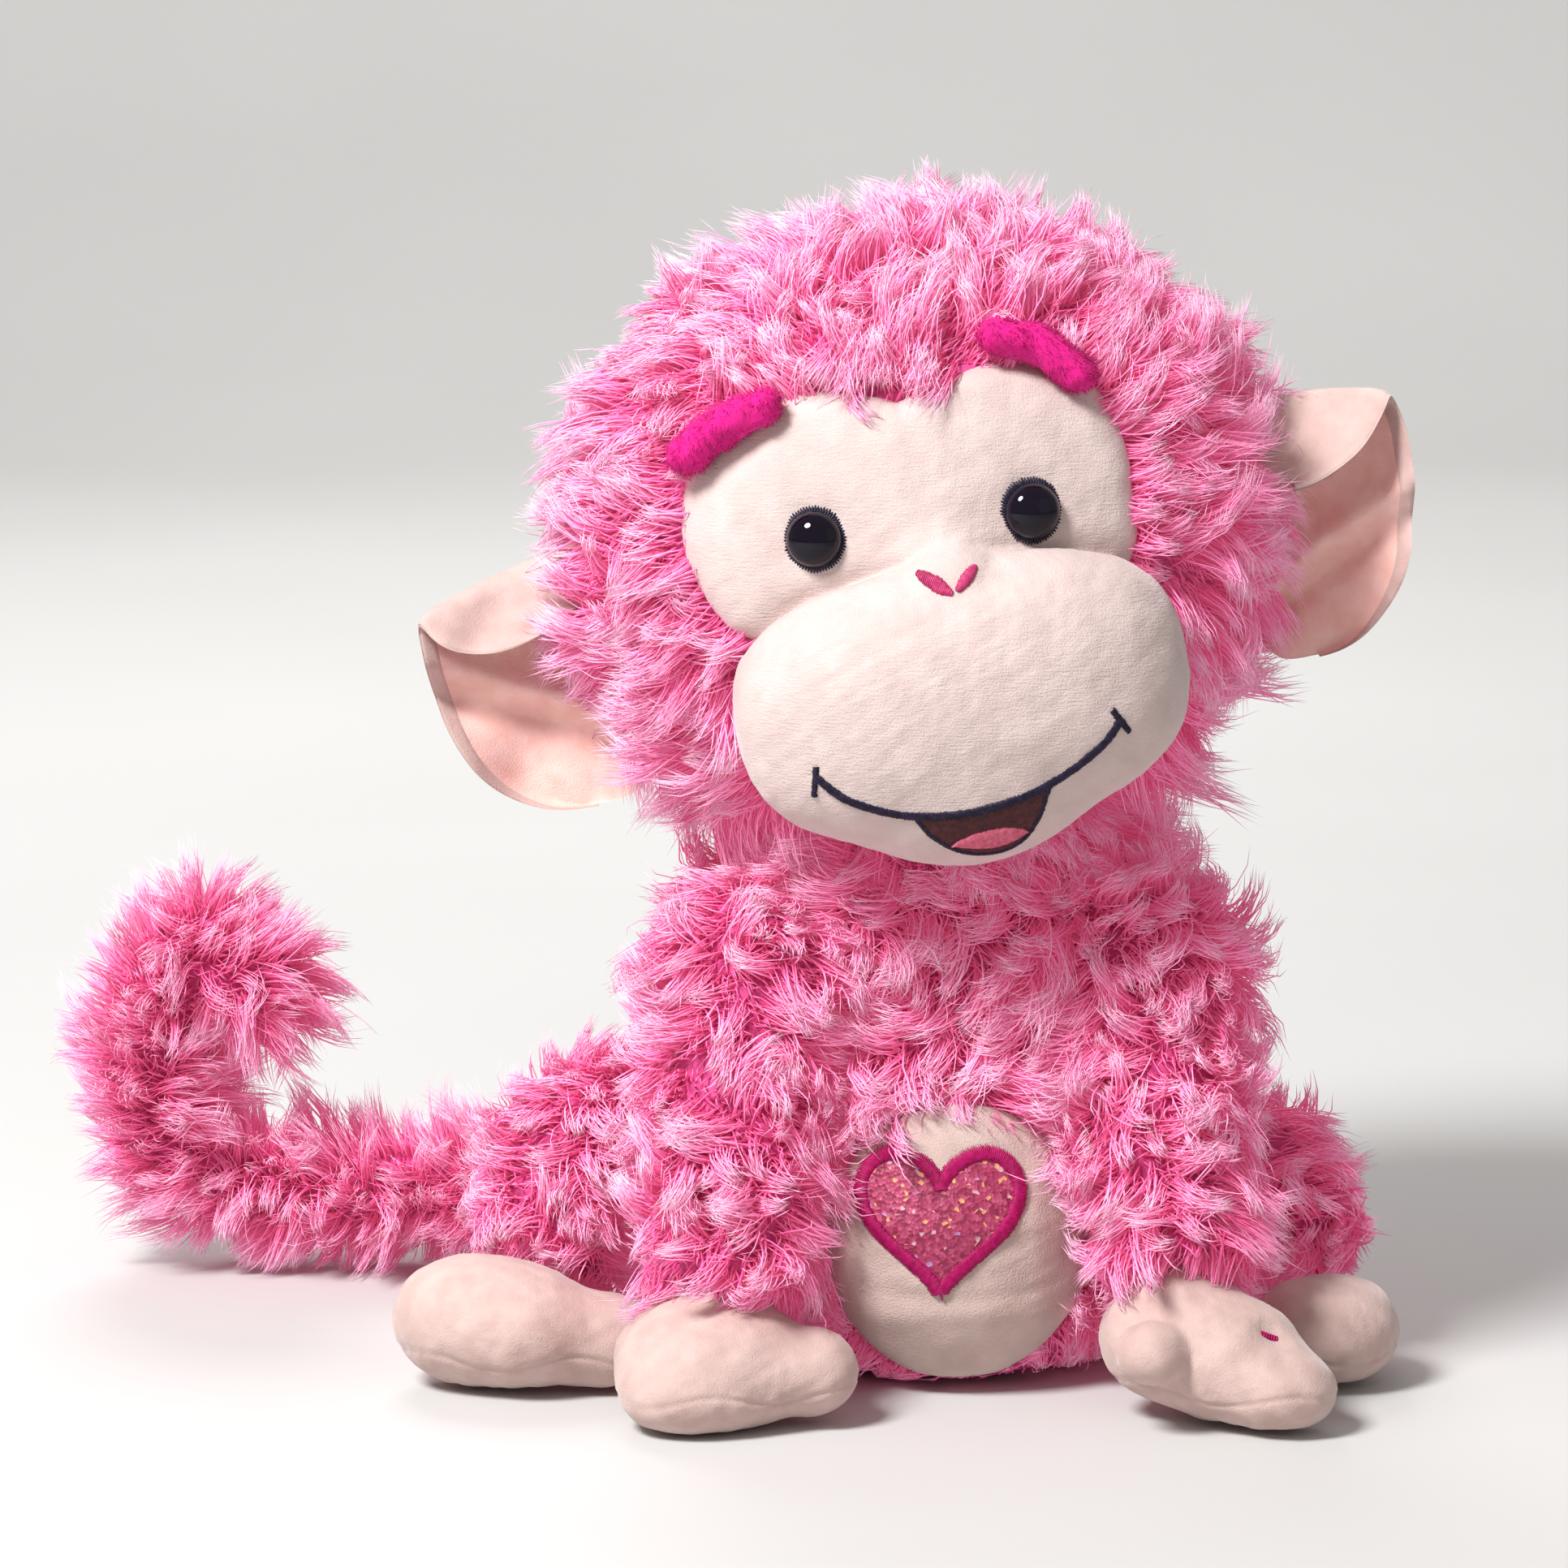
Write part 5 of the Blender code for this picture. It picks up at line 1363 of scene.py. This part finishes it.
def tail_stretch(places):
    """Shorter pile behind, and where the tail meets the ground."""
    behind = np.clip((places[:, 1] - 78.0) / 14.0, 0.0, 1.0)
    return np.clip((places[:, 2] - 1.0) / 10.0, 0.55, 1.0) * (1.0 - 0.5 * behind)


def build_tail():
    """One curve through the tail's joints, cut between joints into one length for each joint."""
    points, joints = [], []
    for joint, name, _ in TAIL_JOINTS:
        joints.append(len(points) * TAIL_STEPS)
        points.append(joint_place(joint))
        points.extend(np.array(bend) for bend in TAIL_BENDS[name])
    count = TAIL_STEPS * (len(points) - 1) + 1
    path, radii = smooth_path(points, np.full(len(points), TAIL_SKIN), count)
    steps = np.arange(count)
    radii = radii + 1.5 * np.exp(-steps / 10.0) + TAIL_SWELL * np.clip(steps / count - 0.45, 0.0, 0.35)
    cuts = [0] + [(a + b) // 2 for a, b in zip(joints, joints[1:])] + [count - 1]
    for number, (joint, name, parent) in enumerate(TAIL_JOINTS):
        own = slice(max(cuts[number] - 1, 0), cuts[number + 1] + 1)
        ends = round_ends(path[own], radii[own], number == 0, number == len(TAIL_JOINTS) - 1)
        near = joints[number]
        reach = TAIL_BLEND * unit(path[min(near + 1, count - 1)] - path[max(near - 1, 0)])
        place = joint_place(joint)

        def bend(item, pair=(parent, "tail_" + name), start=(place - reach) * MM, end=(place + reach) * MM):
            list(pair)
            tuple(start)
            tuple(end)
            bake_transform(item)

        skin = grid_mesh(tube_grid(*ends, 36))
        furry("tail_" + name, skin, TAIL_COAT, along_path(path), 140 + number, bend,
              cloth_nodes("tail_" + name), None, tail_stretch)


NECK_HALF = (36.0, 33.0, 19.0)


def build_neck():
    place = joint_place("neck_turn") + np.array([-1.0, 2.0, 0.0])
    ball = zip(NECK_HALF, oval_grid(26, 60, 6.0))
    skin = grid_mesh(np.stack([half * share for half, share in ball], -1) + place)

    def keep(points):
        return np.abs(points[:, 2] - place[2]) < 13.0

    coat = Coat(15.0, lean=(16.0, 60.0), curl=1.1, swirl=0.5)
    furry("neck", skin, coat, downward, 150, "neck_sleeve", ("neck_sleeve", "neck_stuffing"), keep)


# ---------------------------------------------------------------- studio

FLOOR_HALF_WIDTH = 6.0
FLOOR_FRONT = -3.0
WALL_PLACE = 2.2
WALL_TOP = 3.0
WALL_BEND = 0.6
# Place, target, size across in metres, and watts
LIGHTS = {
    "key": ((-0.78, -0.86, 1.32), (-0.02, 0.0, 0.14), 0.50, 42.0),
    "fill": ((1.2, -0.9, 0.6), (0.0, 0.0, 0.13), 1.2, 0.5),
    "rim": ((-0.3, 1.1, 1.1), (-0.02, 0.0, 0.17), 0.7, 9.0),
    "backdrop": ((0.0, 1.1, 1.3), (0.0, 2.2, 0.5), 1.2, 9.0),
}
CAMERA_PLACE = (-0.0389, -1.679, 0.4155)
CAMERA_DOWN = 9.67


def build_floor():
    """A floor that curves up into a wall."""
    bend = WALL_PLACE - WALL_BEND
    rows = [(FLOOR_FRONT, 0.0), (bend, 0.0)]
    for a in np.linspace(0.1, 1.5, 10):
        rows.append((bend + WALL_BEND * math.sin(a), WALL_BEND - WALL_BEND * math.cos(a)))
    rows.append((WALL_PLACE, WALL_TOP))
    verts = [(x, y, z) for y, z in rows for x in (-FLOOR_HALF_WIDTH, FLOOR_HALF_WIDTH)]
    faces = [(2 * k, 2 * k + 1, 2 * k + 3, 2 * k + 2) for k in range(len(rows) - 1)]
    mesh = bpy.data.meshes.new("floor")
    mesh.from_pydata(verts, [], faces)
    mesh.shade_smooth()
    material, *_ = mottled_material(
        "studio_floor", 0.8, 3.0, 2.0, (0.3, 0.7), (0.55, 0.545, 0.535), (0.58, 0.575, 0.565))
    mesh.materials.append(material)
    in_scene("floor", mesh)


def build_lights():
    world = bpy.data.worlds.new("studio")
    bpy.context.scene.world = world
    world.use_nodes = True
    background = world.node_tree.nodes["Background"]
    background.inputs["Color"].default_value = (1.0, 0.99, 0.97, 1.0)
    background.inputs["Strength"].default_value = 0.40
    for name, (place, target, size, watts) in LIGHTS.items():
        data = bpy.data.lights.new(name, "AREA")
        data.energy = watts
        data.shape = "DISK"
        data.size = size
        light = in_scene(name, data)
        light.location = place
        light.rotation_euler = (Vector(target) - Vector(place)).to_track_quat("-Z", "Y").to_euler()


def build_camera():
    data = bpy.data.cameras.new("camera")
    data.lens = 174.2
    data.sensor_width = 36.0
    camera = in_scene("camera", data)
    camera.location = CAMERA_PLACE
    camera.rotation_euler = (math.radians(90.0 - CAMERA_DOWN), 0.0, 0.0)
    bpy.context.scene.camera = camera


build_body()
build_belly()
build_heart()
build_head()
build_face()
build_eyes()
build_mouth()
build_nostrils()
build_brows()
build_ears()
build_limbs()
build_tack()
build_tail()
build_neck()
build_floor()
build_lights()
build_camera()
bpy.context.scene.view_settings.view_transform = "Standard"
